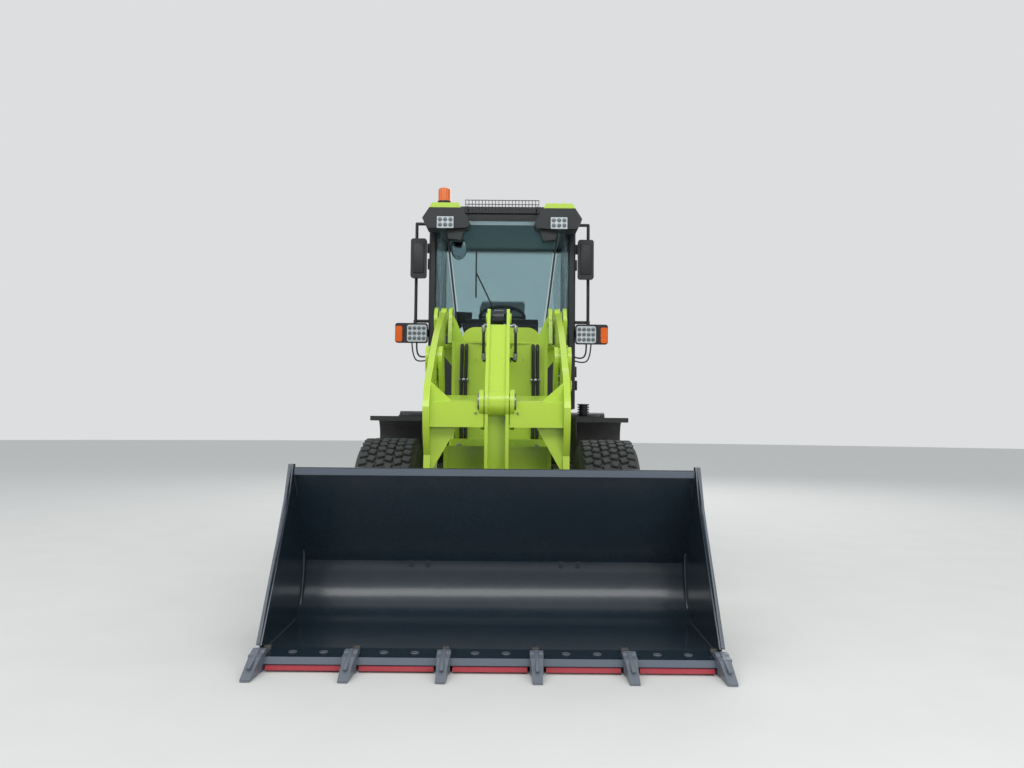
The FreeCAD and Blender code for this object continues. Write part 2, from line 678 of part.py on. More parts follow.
def build_pins():
    """Ground pins. Each bucket pin has a broad cap on either side of its lugs."""
    lug_out = BUCKET_LUG_GAP + BUCKET_LUG_T + SEAT_GAP
    reach = lug_out + PIN_CAP_T
    pin = cross_rod(BUCKET_PIN_U, BUCKET_PIN_Z, BUCKET_PIN_R, ARM_X - reach, ARM_X + reach)
    inner = cross_rod(BUCKET_PIN_U, BUCKET_PIN_Z, PIN_CAP_R, ARM_X - reach, ARM_X - lug_out)
    outer = cross_rod(BUCKET_PIN_U, BUCKET_PIN_Z, PIN_CAP_R, ARM_X + lug_out, ARM_X + reach)
    save("bucket_pins", pair(joined([pin, inner, outer])))
    rocker_reach = ROCKER_HALF + ROCKER_PIN_OUT
    save("rocker_pin", [cross_rod(ROCKER_U, ROCKER_Z, ROCKER_PIN_R, -rocker_reach, rocker_reach)])
    link_reach = ROCKER_HALF + PIN_HEAD
    save("link_pin", [cross_rod(LINK_LOW_U, LINK_LOW_Z, LINK_PIN_R, -link_reach, link_reach)])


def build_rocker():
    """Two cheek plates with a recessed front web, swinging on the boom's cross-member."""
    x1 = ROCKER_HALF
    x0 = ROCKER_HALF - ROCKER_T
    cheek = joined([capsule(TILT_ROD_U, TILT_ROD_Z, 62, ROCKER_U, ROCKER_Z, ROCKER_BOSS_R, x0, x1),
                    capsule(ROCKER_U, ROCKER_Z, 60, LINK_LOW_U, LINK_LOW_Z, 54, x0, x1)])
    upper = limb_web(TILT_ROD_U, TILT_ROD_Z, 50, ROCKER_U, ROCKER_Z, 72, x0)
    lower = limb_web(ROCKER_U, ROCKER_Z, -54, LINK_LOW_U, LINK_LOW_Z, -46, x0)
    tube = cross_rod(ROCKER_U, ROCKER_Z, ROCKER_BOSS_R - 12, -x0, x0)
    caps = pair(cross_rod(TILT_ROD_U, TILT_ROD_Z, TILT_PIN_R + 8, x1, x1 + 10))
    body = joined(pair(cheek) + [upper, lower, tube] + caps)
    bore = cross_rod(ROCKER_U, ROCKER_Z, ROCKER_PIN_R + PIN_FIT, -200, 200)
    low = cross_rod(LINK_LOW_U, LINK_LOW_Z, LINK_PIN_R + PIN_FIT, -200, 200)
    save("rocker", [body.cut([bore, low])])


def limb_web(u0, z0, out0, u1, z1, out1, half):
    """The front web of one limb of the rocker, set in from the cheeks' front edges."""
    long = hypot(u1 - u0, z1 - z0)
    du, dz = (u1 - u0) / long, (z1 - z0) / long
    side = -1 if out0 > 0 else 1
    nu, nz = side * dz, -side * du
    start = 0.14 if out0 > 0 else 0.06
    finish = 1.0 if out0 > 0 else 0.86
    front = [(u0 + du * long * start, z0 + dz * long * start, abs(out0)),
             (u0 + du * long * finish, z0 + dz * long * finish, abs(out1))]
    outline = [(u - nu * out, z - nz * out) for u, z, out in front]
    outline += [(u - nu * (out - ROCKER_WEB_T), z - nz * (out - ROCKER_WEB_T)) for u, z,
                out in reversed(front)]
    return side_plate(outline, -half, half)


def build_link():
    """The short link from the rocker to the bucket; its bucket end is open to the lugs."""
    long = hypot(LINK_BUCKET_U - LINK_LOW_U, LINK_BUCKET_Z - LINK_LOW_Z)
    nu = -(LINK_BUCKET_Z - LINK_LOW_Z) / long * LINK_BAR_HALF
    nz = (LINK_BUCKET_U - LINK_LOW_U) / long * LINK_BAR_HALF
    bar = side_plate([(LINK_LOW_U + nu, LINK_LOW_Z + nz), (LINK_BUCKET_U + nu, LINK_BUCKET_Z + nz),
                      (LINK_BUCKET_U - nu, LINK_BUCKET_Z - nz), (LINK_LOW_U - nu, LINK_LOW_Z - nz)],
                     -LINK_HALF + 8, LINK_HALF - 8)
    ends = [cross_rod(LINK_LOW_U, LINK_LOW_Z, LINK_EYE_R + 12, -LINK_HALF, LINK_HALF),
            cross_rod(LINK_BUCKET_U, LINK_BUCKET_Z, LINK_EYE_R, -LINK_HALF, LINK_HALF)]
    bore = cross_rod(LINK_LOW_U, LINK_LOW_Z, LINK_PIN_R + PIN_FIT, -200, 200)
    save("link", [joined([bar] + ends).cut(bore)])


def cylinder_pair(foot, head, x, barrel_r, rod_r, eye_r, pin_r, halves, barrel_share, rod_start):
    """A hydraulic cylinder as its barrel and its rod, from the foot pin to the rod's eye."""
    start = at(x, *foot)
    end = at(x, *head)
    long = (end - start).Length
    along = (end - start) * (1 / long)
    mouth = start + along * (long * barrel_share)
    port = start + along * (eye_r + 50)
    barrel = joined([rod(start + along * (eye_r * 0.8), mouth, barrel_r),
                     rod(mouth - along * 50, mouth, barrel_r + 5),
                     rod(port, port + along.cross(FreeCAD.Vector(1, 0, 0)) * (barrel_r + 14), 12),
                     cross_rod(foot[0], foot[1], eye_r, x - halves[0], x + halves[0])])
    barrel = barrel.cut([cross_rod(foot[0], foot[1], pin_r + PIN_FIT, x - 200, x + 200),
                         rod(start + along * (eye_r + 10), mouth + along, rod_r + 1.5)])
    bar = joined([rod(start + along * rod_start, end, rod_r),
                  cross_rod(head[0], head[1], eye_r, x - halves[1], x + halves[1])])
    return barrel, bar


def build_cylinders():
    for hand, side in (("left", 1), ("right", -1)):
        barrel, bar = cylinder_pair((LIFT_FOOT_U, LIFT_FOOT_Z), (LIFT_TOP_U, LIFT_TOP_Z), side * ARM_X,
                                    LIFT_BARREL_R, LIFT_ROD_R, LIFT_EYE_R, LIFT_PIN_R,
                                    (LIFT_FOOT_HALF, LIFT_EYE_HALF), LIFT_BARREL_SHARE, LIFT_EYE_R + 12)
        save("lift_barrel_" + hand, [barrel])
        save("lift_rod_" + hand, [bar])
    barrel, bar = cylinder_pair((TILT_FOOT_U, TILT_FOOT_Z), (TILT_ROD_U, TILT_ROD_Z), 0,
                                TILT_BARREL_R, TILT_ROD_R, TILT_EYE_R, TILT_PIN_R,
                                (SLOT_HALF - EYE_GAP, TILT_EYE_HALF), TILT_BARREL_SHARE, TILT_EYE_R + 63)
    save("tilt_barrel", [barrel])
    save("tilt_rod", [bar])


def bucket_back():
    """The inner face of the bucket from its floor up to the rim, as outline points."""
    return [(-1660, 71), (-1220, 75.5), (-1042, 180, BACK_LOW_U, BACK_LOW_Z), (BACK_HIGH_U, BACK_HIGH_Z),
            (RIM_U, RIM_Z)]


def build_bucket():
    side_x = BUCKET_HALF - CUTTER_T
    inside = side_x - BUCKET_SIDE_T
    heel = [(RIM_U + 22, RIM_Z), (BACK_HIGH_U + BUCKET_WALL + 1, BACK_HIGH_Z + 7),
            (BACK_LOW_U + BUCKET_WALL + 1, BACK_LOW_Z + 2), (-1022, 166, -1215, 48), (-1500, 40),
            (-1560, BLADE_Z)]
    shell = side_plate([(BLADE_U, BLADE_Z), (BLADE_U + 30, BLADE_Z + BLADE_T)] + bucket_back() + heel,
                       -inside, inside)
    corner = [(BLADE_U + 98, BLADE_Z + 1), (BLADE_U + 98, 92), (BLADE_U + 64, 100)]
    front = [(-1356, 692), (-1262, SPIKE_Z - 5), (RIM_U + 25, SPIKE_Z - 5)]
    sides = pair(side_plate(corner + front + heel, inside, side_x))
    cutter = side_plate([corner[2], front[0], front[1], (-1262 + CUTTER_W, SPIKE_Z - 5),
                         (-1356 + CUTTER_W, 692 - 12), (BLADE_U + 64 + CUTTER_W + 20, 100)], side_x,
                        BUCKET_HALF)
    bar = side_plate([(RIM_U - 10, RIM_Z - 6), (RIM_U - 10, RIM_Z + RIM_BAR), (RIM_U + 22, RIM_Z + RIM_BAR),
                      (RIM_U + 22, RIM_Z - 6)], -inside, inside)
    beam = side_plate([(BACK_HIGH_U + 30, BACK_HIGH_Z - 40), (BACK_HIGH_U + 78, BACK_HIGH_Z - 62),
                       (BACK_HIGH_U + 118, BACK_HIGH_Z - 140), (BACK_HIGH_U + 84, BACK_HIGH_Z - 150)],
                      -inside, inside)
    lugs = []
    for x0 in (ARM_X - BUCKET_LUG_GAP - BUCKET_LUG_T, ARM_X + BUCKET_LUG_GAP):
        outline = [(-975, 200), (-1000, 430), (-1188, 770), (-1150, 770), (-960, 560),
                   (BUCKET_PIN_U - 30, BUCKET_PIN_Z + 78),
                   (BUCKET_PIN_U + 78, BUCKET_PIN_Z, BUCKET_PIN_U - 20, BUCKET_PIN_Z - 76), (-1010, 160)]
        lugs += pair(side_plate(outline, x0, x0 + BUCKET_LUG_T))
    link_outline = [(-976, 380), (-1085, 590), (-1130, 680), (LINK_BUCKET_U - 20, LINK_BUCKET_Z + 76),
                    (LINK_BUCKET_U + 60, LINK_BUCKET_Z, LINK_BUCKET_U + 10, LINK_BUCKET_Z - 62)]
    lug_x = LINK_HALF + 6
    lugs += pair(side_plate(link_outline, lug_x, lug_x + 25))
    lugs += pair(cross_rod(LINK_BUCKET_U, LINK_BUCKET_Z, LINK_PIN_R + 8, lug_x + 25, lug_x + 35))
    body = joined([shell, bar, beam] + sides + pair(cutter) + lugs)
    bore = cross_rod(BUCKET_PIN_U, BUCKET_PIN_Z, BUCKET_PIN_R + PIN_FIT, -600, 600)
    save("bucket", [body.cut(bore)])


def tooth(middle):
    """A tooth on its adaptor: the adaptor grips the blade and the tip tapers to its cutting edge."""
    half = TOOTH_W / 2
    top = BLADE_Z + BLADE_T
    outline = [(BLADE_U - 30, 6), (BLADE_U - 30, top + 22), (BLADE_U + 10, top + TOOTH_BOSS_H * 0.42),
               (BLADE_U + 70, top + TOOTH_BOSS_H * 0.5, BLADE_U + 92, top + 12),
               (BLADE_U + 90, top + 10), (BLADE_U + 32, top + 3),
               (BLADE_U - 4, BLADE_Z - 1), (BLADE_U + 60, BLADE_Z - 1), (BLADE_U + 60, BLADE_Z - EDGE_T)]
    adaptor = side_plate(outline, middle - half, middle + half)
    root = section(middle, BLADE_U - 30, half - 4, 6, top + 18)
    tip = section(middle, -TOOTH_REACH, TOOTH_TIP_W / 2, 2, 2 + TOOTH_TIP_T)
    return joined([adaptor, Part.makeLoft([root, tip], True, True)])


def section(middle, u, half, z0, z1):
    corners = [at(middle - half, u, z0), at(middle + half, u, z0), at(middle + half, u, z1),
               at(middle - half, u, z1)]
    return Part.makePolygon(corners + corners[:1])


def build_teeth():
    """Bolt-on teeth along the blade, and edge segments between them."""
    teeth = []
    segments = []
    pitch = 2 * (BUCKET_HALF - TOOTH_W / 2 + 5) / (TOOTH_COUNT - 1)
    gap = TOOTH_W / 2 + EDGE_GAP
    for index in range(TOOTH_COUNT):
        middle = -BUCKET_HALF + TOOTH_W / 2 - 5 + index * pitch
        teeth.append(tooth(middle))
        if index < TOOTH_COUNT - 1:
            segments.append(block(middle + gap, middle + pitch - gap, BLADE_U - 14, BLADE_U + EDGE_DEPTH,
                                  BLADE_Z - EDGE_T, BLADE_Z - 0.5))
    save("bucket_teeth", teeth)
    save("edge_segments", segments)


def build_rear_frame():
    inner = REAR_FRAME_HALF - PLATE_T
    neck_z = HITCH_TOP_Z + 70
    arch = WHEELBASE - 180
    cheek = side_plate([(REAR_FRAME_FRONT_U, REAR_FRAME_FOOT_Z), (REAR_FRAME_FRONT_U, neck_z),
                        (REAR_FRAME_FRONT_U + 300, neck_z), (REAR_FRAME_FRONT_U + 420, REAR_FRAME_TOP_Z),
                        (REAR_FRAME_BACK_U, REAR_FRAME_TOP_Z), (REAR_FRAME_BACK_U, REAR_FRAME_LOW_Z),
                        (arch + 420, REAR_FRAME_LOW_Z), (arch + 360, AXLE_PAD_Z + 20),
                        (arch, AXLE_PAD_Z + 20),
                        (arch - 60, REAR_FRAME_FOOT_Z)], inner, REAR_FRAME_HALF)
    cheek = cheek.cut(cross_rod(TIE_REAR_U, TIE_REAR_Z, TIE_R, inner - 1, REAR_FRAME_HALF + 1))
    pieces = pair(cheek)
    walls = ((REAR_FRAME_FRONT_U, 25, REAR_FRAME_FOOT_Z, neck_z), (arch - 60, 25, AXLE_PAD_Z + 40,
                                                                   REAR_FRAME_TOP_Z),
             (REAR_FRAME_BACK_U - 40, 40, REAR_FRAME_LOW_Z, REAR_FRAME_TOP_Z))
    for u, thick, low, high in walls:
        pieces.append(block(-inner, inner, u, u + thick, low, high))
    fork = [(-TONGUE_R, HITCH_U), (0, HITCH_U - TONGUE_R, TONGUE_R, HITCH_U),
            (inner, REAR_FRAME_FRONT_U + 10),
            (-inner, REAR_FRAME_FRONT_U + 10)]
    gap = TONGUE_T / 2 + HITCH_GAP
    for z_mid in (HITCH_TOP_Z, HITCH_LOW_Z):
        pieces.append(plan_plate(fork, z_mid + gap, z_mid + gap + FORK_T))
        pieces.append(plan_plate(fork, z_mid - gap - FORK_T, z_mid - gap))
        pieces.append(upright_rod(0, HITCH_U, HITCH_PIN_R, z_mid - gap - FORK_T - 12,
                                  z_mid + gap + FORK_T + 12))
    pad_top = AXLE_PAD_Z + 80
    pieces += pair(block(170, ENGINE_HALF, WHEELBASE - 60, WHEELBASE + 60, AXLE_PAD_Z + SEAT_GAP, pad_top))
    pieces.append(block(-inner, inner, WHEELBASE - 90, WHEELBASE + 90, pad_top - 20, pad_top + 20))
    for u in CAB_MOUNTS_U:
        pieces += pair(block(CAB_MOUNT_X, REAR_FRAME_HALF, u - 40, u + 40, REAR_FRAME_TOP_Z - 60,
                             CAB_FLOOR_Z - SEAT_GAP))
    window = block(150, REAR_FRAME_HALF + 1, REAR_FRAME_FRONT_U - 1, STEER_FOOT_U + 60,
                   STEER_Z - STEER_WINDOW, STEER_Z + STEER_WINDOW)
    body = joined(pieces).cut(pair(window))
    lugs = steer_lugs(STEER_FOOT_U - 50, STEER_FOOT_U + 90, -inner, STEER_FOOT_X + 50)
    pin_end = STEER_EYE_HALF + STEER_LUG_T + 8
    lugs.append(upright_rod(STEER_FOOT_X, STEER_FOOT_U, STEER_PIN_R, STEER_Z - pin_end, STEER_Z + pin_end))
    lugs.append(block(-inner, STEER_FOOT_X + 50, STEER_FOOT_U + 60, STEER_FOOT_U + 90, STEER_Z - 60,
                      STEER_Z + 60))
    save("rear_frame", [joined([body] + lugs)])


def hood_form(inset):
    """The hood's closed form with rounded top edges, or its hollow when inset by the sheet's thickness."""
    half = HOOD_HALF - inset
    back = HOOD_BACK_U - inset
    front = HOOD_FRONT_U - (1 if inset else 0)
    low = HOOD_SILL_Z - (1 if inset else 0)
    form = side_plate([(front, low), (front, HOOD_TOP_Z - inset), (back, HOOD_BACK_Z - inset), (back, low)],
                      -half, half)
    corner = [edge for edge in form.Edges if abs(edge.Vertexes[0].Point.y - edge.Vertexes[1].Point.y) < 0.1
              and edge.BoundBox.XLength > half and edge.BoundBox.YMax > at(0, back - 1, 0).y
              and edge.BoundBox.ZMax > low + 1]
    form = form.makeFillet(HOOD_BACK_ROUND - inset, corner)
    sides = []
    for edge in form.Edges:
        box = edge.BoundBox
        if box.XLength < 0.1 and box.ZMin > low + 1 and box.YMax > at(0, front + 1, 0).y:
            sides.append(edge)
    sides = [edge for edge in sides if edge.BoundBox.YLength > 1]
    return form.makeFillet(HOOD_ROUND - inset, sides)


def build_rear_body():
    base_z = REAR_FRAME_TOP_Z + 30
    save("engine", [rounded_block(-ENGINE_HALF, ENGINE_HALF, HOOD_FRONT_U + 260, HOOD_BACK_U - 430, base_z,
                                  base_z + 610, 30, 1)])
    weight = side_plate([(REAR_FRAME_BACK_U + SEAT_GAP, WEIGHT_LOW_Z),
                         (REAR_FRAME_BACK_U + SEAT_GAP, WEIGHT_TOP_Z),
                         (TAIL_REACH - 60, WEIGHT_TOP_Z), (TAIL_REACH, WEIGHT_TOP_Z - 70),
                         (TAIL_REACH, WEIGHT_LOW_Z + 140), (TAIL_REACH - 30, WEIGHT_LOW_Z)], -WEIGHT_HALF,
                        WEIGHT_HALF)
    turn = WEIGHT_ROUND * (1 - cos(pi / 4))
    front, wide = REAR_FRAME_BACK_U, WEIGHT_HALF
    plan = [(-wide, front), (-wide, TAIL_REACH - WEIGHT_ROUND),
            (-wide + turn, TAIL_REACH - turn, -wide + WEIGHT_ROUND, TAIL_REACH),
            (wide - WEIGHT_ROUND, TAIL_REACH),
            (wide - turn, TAIL_REACH - turn, wide, TAIL_REACH - WEIGHT_ROUND), (wide, front)]
    weight = weight.common(plan_plate(plan, WEIGHT_LOW_Z - 1, WEIGHT_TOP_Z + 1))
    cuts = [block(-TOW_SLOT_HALF, TOW_SLOT_HALF, TOW_U - 60, TAIL_REACH + 1, TOW_LOW_Z, TOW_HIGH_Z),
            block(-TOW_SLOT_HALF - 10, TOW_SLOT_HALF + 10, TOW_U - 60, TAIL_REACH + 1, TOW_TOP_Z,
                  WEIGHT_TOP_Z + 90),
            upright_rod(0, TOW_U, TOW_R, WEIGHT_LOW_Z - 60, TOW_TOP_Z + 1)]
    lens = (TAIL_LAMP_X, TAIL_LAMP_X + TAIL_LAMP_W, TAIL_REACH - TAIL_LAMP_T, TAIL_REACH + 1, TAIL_LAMP_Z,
            TAIL_LAMP_Z + TAIL_LAMP_H)
    cuts += pair(block(*lens))
    save("counterweight", [weight.cut(cuts)])
    save("tail_lamps", pair(rounded_block(lens[0] + SEAT_GAP, lens[1] - SEAT_GAP, lens[2] + SEAT_GAP,
                                          lens[3] - 3,
                                          lens[4] + SEAT_GAP, lens[5] - SEAT_GAP, 12, 1)))
    hood = hood_form(0).cut(hood_form(HOOD_T))
    louvre_count = int((HOOD_BACK_U - 460 - LOUVRE_U) / LOUVRE_PITCH) + 1
    slots = []
    for index in range(louvre_count):
        u = LOUVRE_U + index * LOUVRE_PITCH
        slots.append(rounded_block(-HOOD_HALF - 1, HOOD_HALF + 1, u, u + LOUVRE_W, LOUVRE_LOW_Z,
                                   LOUVRE_HIGH_Z, 20, 0))
    mouth = rounded_block(-GRILLE_HALF, GRILLE_HALF, HOOD_BACK_U - 2 * HOOD_T, HOOD_BACK_U + 1,
                          GRILLE_LOW_Z,
                          GRILLE_HIGH_Z, 30, 1)
    save("hood", [hood.cut(slots + [mouth])])
    build_grille()
    pipe_u = (CAB_BACK_U + HOOD_FRONT_U) / 2 - 6
    pipe = [upright_rod(EXHAUST_X, pipe_u, EXHAUST_R, HOOD_SILL_Z + 230, HOOD_TOP_Z + 350),
            rod(at(EXHAUST_X, pipe_u, HOOD_TOP_Z + 330), at(EXHAUST_X, pipe_u + 55, HOOD_TOP_Z + 400),
                EXHAUST_R)]
    pipe += [upright_rod(EXHAUST_X, pipe_u, EXHAUST_R + 6, z, z + 14) for z in (HOOD_SILL_Z + 300,
                                                                                HOOD_TOP_Z + 40)]
    save("exhaust", [joined(pipe)])
    save("bulkhead", [block(-HOOD_HALF + 8, HOOD_HALF - 8, HOOD_FRONT_U - 15, HOOD_FRONT_U - 5,
                            REAR_FRAME_TOP_Z + SEAT_GAP, HOOD_TOP_Z - 12)])


def build_grille():
    """Upright bars in a frame that fills the hood's rear opening."""
    u0 = HOOD_BACK_U - HOOD_T - 12
    u1 = HOOD_BACK_U - SEAT_GAP
    wide = GRILLE_HALF - SEAT_GAP
    low, high = GRILLE_LOW_Z + SEAT_GAP, GRILLE_HIGH_Z - SEAT_GAP
    frame = rounded_block(-wide, wide, HOOD_BACK_U - HOOD_T + 0.5, u1, low, high, 29, 1)
    frame = frame.cut(rounded_block(-wide + 18, wide - 18, u0, u1 + 1, low + 18, high - 18, 14, 1))
    bars = [frame]
    count = int((wide - 30) / GRILLE_PITCH)
    for index in range(-count, count + 1):
        x = index * GRILLE_PITCH
        bars.append(block(x - GRILLE_BAR / 2, x + GRILLE_BAR / 2, HOOD_BACK_U - HOOD_T + 1, u1 - 2,
                          low + 10, high - 10))
    save("grille", [joined(bars)])


def build_side_boxes():
    """Fuel and oil tanks between the wheels, each with a flight of steps, and the rear fenders."""
    front, back = TANK_FRONT_U, TANK_BACK_U
    outline = [(front, TANK_LOW_Z + 60), (front, TANK_TOP_Z - DECK_T), (back, TANK_TOP_Z - DECK_T),
               (back, TANK_LOW_Z + 420), (back - 40, TANK_LOW_Z + 220), (back - 200, TANK_LOW_Z),
               (front + 60, TANK_LOW_Z), (front + 18, TANK_LOW_Z + 18, front, TANK_LOW_Z + 60)]
    tank = side_plate(outline[:-1] + [outline[-1]], REAR_FRAME_HALF + SEAT_GAP, TANK_HALF)
    recess = block(REAR_FRAME_HALF, 450, front - 20, STEER_FOOT_U, STEER_Z - STEER_WINDOW,
                   STEER_Z + STEER_WINDOW)
    flight = [tank.cut(recess)]
    flight.append(plan_plate([(REAR_FRAME_HALF + SEAT_GAP, front), (STEP_OUT - 40, front),
                              (STEP_OUT - 12, front + 12, STEP_OUT, front + 40), (STEP_OUT, back),
                              (REAR_FRAME_HALF + SEAT_GAP, back)], TANK_TOP_Z - DECK_T, TANK_TOP_Z))
    wall = [(TANK_HALF - 10, TANK_TOP_Z - DECK_T + 5), (STEP_OUT - 10, TANK_TOP_Z - DECK_T + 5),
            (STEP_OUT, STEP_LOW_Z),
            (TANK_HALF - 10, STEP_LOW_Z)]
    for u in (front + 20, back - 110):
        flight.append(front_plate(wall, u, u + STEP_WALL))
    for index in range(STEP_COUNT):
        low = STEP_LOW_Z + index * STEP_PITCH
        flight.append(block(TANK_HALF - 10, STEP_OUT - 4, front + 20, back - 102, low, low + STEP_T))
    save("step_tanks", pair(joined(flight)))
    top, low, t = REAR_FENDER_TOP_Z, REAR_FENDER_LOW_Z, FENDER_T
    u0, u1 = WHEELBASE - REAR_FENDER_HALF, WHEELBASE + REAR_FENDER_HALF
    arch = side_plate([(u0, low), (u0, top - 80), (u0 + 26, top - 26, u0 + 90, top), (u1 - 120, top),
                       (u1 - 34, top - 36, u1, top - 120), (u1, low), (u1 - t, low), (u1 - t, top - 120),
                       (u1 - 40, top - 41, u1 - 120, top - t), (u0 + 90, top - t),
                       (u0 + 31, top - 31, u0 + t, top - 80), (u0 + t, low)], REAR_FENDER_IN,
                      REAR_FENDER_OUT)
    stays = []
    for u in (u0, u1 - 16):
        stays.append(block(REAR_FENDER_IN - 14, REAR_FENDER_IN, u, u + 16, REAR_FRAME_TOP_Z - 34,
                           top - 130))
        stays.append(block(REAR_FRAME_HALF + SEAT_GAP, REAR_FENDER_IN, u, u + 16, REAR_FRAME_TOP_Z - 34,
                           REAR_FRAME_TOP_Z - 14))
    save("rear_fenders", pair(joined([arch] + stays)))


def corner_glass():
    """The bent corner glass between a windscreen edge and the front post."""
    u0 = CAB_FRONT_U + SEAL_R
    x_out, u_out = CAB_HALF - POST - SEAT_GAP, CAB_POST_U + 6
    low_z = SILL_WINDOW_Z + 6
    x_foot = SCREEN_FOOT_HALF + 14
    foot = [at(x_foot, u0, low_z), at(x_out, u_out, low_z), at(x_out, u_out + GLASS_T, low_z),
            at(x_foot, u0 + GLASS_T, low_z)]
    head_z = CAB_ROOF_Z - 61
    head = [at(SCREEN_TOP_HALF + 4, u0, head_z), at(x_out, u_out, head_z),
            at(x_out, u_out + GLASS_T, head_z),
            at(SCREEN_TOP_HALF + 4, u0 + GLASS_T, head_z)]
    return Part.makeLoft([Part.makePolygon(foot + foot[:1]), Part.makePolygon(head + head[:1])], True, True)


def build_cab():
    roof_z = CAB_ROOF_Z
    base = CAB_FLOOR_Z
    floor = plan_plate([(-CORNER_HALF, CAB_FRONT_U), (CORNER_HALF, CAB_FRONT_U), (CAB_HALF, CAB_POST_U),
                        (CAB_HALF, CAB_BACK_U), (-CAB_HALF, CAB_BACK_U), (-CAB_HALF, CAB_POST_U)],
                       base, base + CAB_FLOOR_T)
    pieces = [floor]
    for u in (CAB_POST_U, DOOR_BACK_U + 5, CAB_BACK_U - POST):
        pieces += pair(rounded_block(CAB_HALF - POST, CAB_HALF, u, u + POST, base, roof_z, POST_ROUND, 2))
    pieces += pair(block(CAB_HALF - POST, CAB_HALF, CAB_POST_U + POST_ROUND, CAB_BACK_U - POST_ROUND,
                         roof_z - POST,
                         roof_z))
    pieces.append(block(-CAB_HALF + POST_ROUND, CAB_HALF - POST_ROUND, CAB_BACK_U - POST, CAB_BACK_U,
                        roof_z - POST,
                        roof_z))
    rail_x = SCREEN_TOP_HALF - 20
    pieces.append(plan_plate([(-SCREEN_TOP_HALF, CAB_FRONT_U), (SCREEN_TOP_HALF, CAB_FRONT_U),
                              (CAB_HALF, CAB_POST_U),
                              (CAB_HALF, CAB_POST_U + POST), (rail_x, CAB_FRONT_U + POST),
                              (-rail_x, CAB_FRONT_U + POST), (-CAB_HALF, CAB_POST_U + POST),
                              (-CAB_HALF, CAB_POST_U)], roof_z - POST, roof_z))
    seal_u = CAB_FRONT_U + 2 * SEAL_R - 5
    pieces += pair(rod(at(SCREEN_FOOT_HALF, seal_u, SILL_WINDOW_Z - 30),
                       at(SCREEN_TOP_HALF - 12, seal_u, roof_z - 30),
                       SEAL_R))
    pieces.append(block(-CAB_HALF + 10, CAB_HALF - 10, CAB_BACK_U - 40, CAB_BACK_U - 10, base,
                        SILL_WINDOW_Z))
    pieces += pair(block(CAB_HALF - 30, CAB_HALF - 5, DOOR_BACK_U + 20, CAB_BACK_U - 20, base,
                         SILL_WINDOW_Z))
    corner_x = CAB_HALF - POST - 2
    pieces += pair(plan_plate([(CORNER_HALF + 2, CAB_FRONT_U + SHEET_T + 1), (corner_x, CAB_POST_U - 20),
                               (corner_x + 12, CAB_POST_U + 8), (CORNER_HALF + 2,
                                                                 CAB_FRONT_U + 2 * SHEET_T)],
                              base + 10, SILL_WINDOW_Z))
    save("cab_frame", [joined(pieces)])
    build_panels()
    build_roof()
    screen = front_plate([(-SCREEN_FOOT_HALF + 13, SCREEN_FOOT_Z + 2),
                          (SCREEN_FOOT_HALF - 13, SCREEN_FOOT_Z + 2),
                          (SCREEN_TOP_HALF - 26, roof_z - POST - 1),
                          (-SCREEN_TOP_HALF + 26, roof_z - POST - 1)],
                         CAB_FRONT_U + SEAL_R, CAB_FRONT_U + SEAL_R + GLASS_T)
    wide = CAB_HALF - POST - 1
    back = block(-wide, wide, CAB_BACK_U - 30, CAB_BACK_U - 30 + GLASS_T, SILL_WINDOW_Z + 1,
                 roof_z - POST - 1)
    sides = pair(block(CAB_HALF - 20, CAB_HALF - 20 + GLASS_T, DOOR_BACK_U + POST + 6,
                       CAB_BACK_U - POST - 1,
                       SILL_WINDOW_Z + 1, roof_z - POST - 1))
    save("cab_glass", [screen, back] + sides + pair(corner_glass()))


def build_panels():
    """The front panel under the windscreen, and the caps on the roof pods."""
    low = CAB_FLOOR_Z + CAB_FLOOR_T + SEAT_GAP
    top = SCREEN_FOOT_Z - SEAT_GAP
    turn = PANEL_ROUND * (1 - cos(pi / 4))
    wide = CORNER_HALF
    panel = front_plate([(-wide, low), (-wide, top - PANEL_ROUND), (-wide + turn, top - turn,
                                                                    -wide + PANEL_ROUND, top),
                         (wide - PANEL_ROUND, top), (wide - turn, top - turn, wide, top - PANEL_ROUND),
                         (wide, low)],
                        CAB_FRONT_U, CAB_FRONT_U + SHEET_T)
    base = CAB_ROOF_Z + 6
    cap = front_plate([(330, base), (352, base + POD_CAP_T), (562, base + POD_CAP_T), (585, base)],
                      POD_FRONT_U + 6, CAB_FRONT_U - 21)
    save("cab_panels", [panel] + pair(cap))


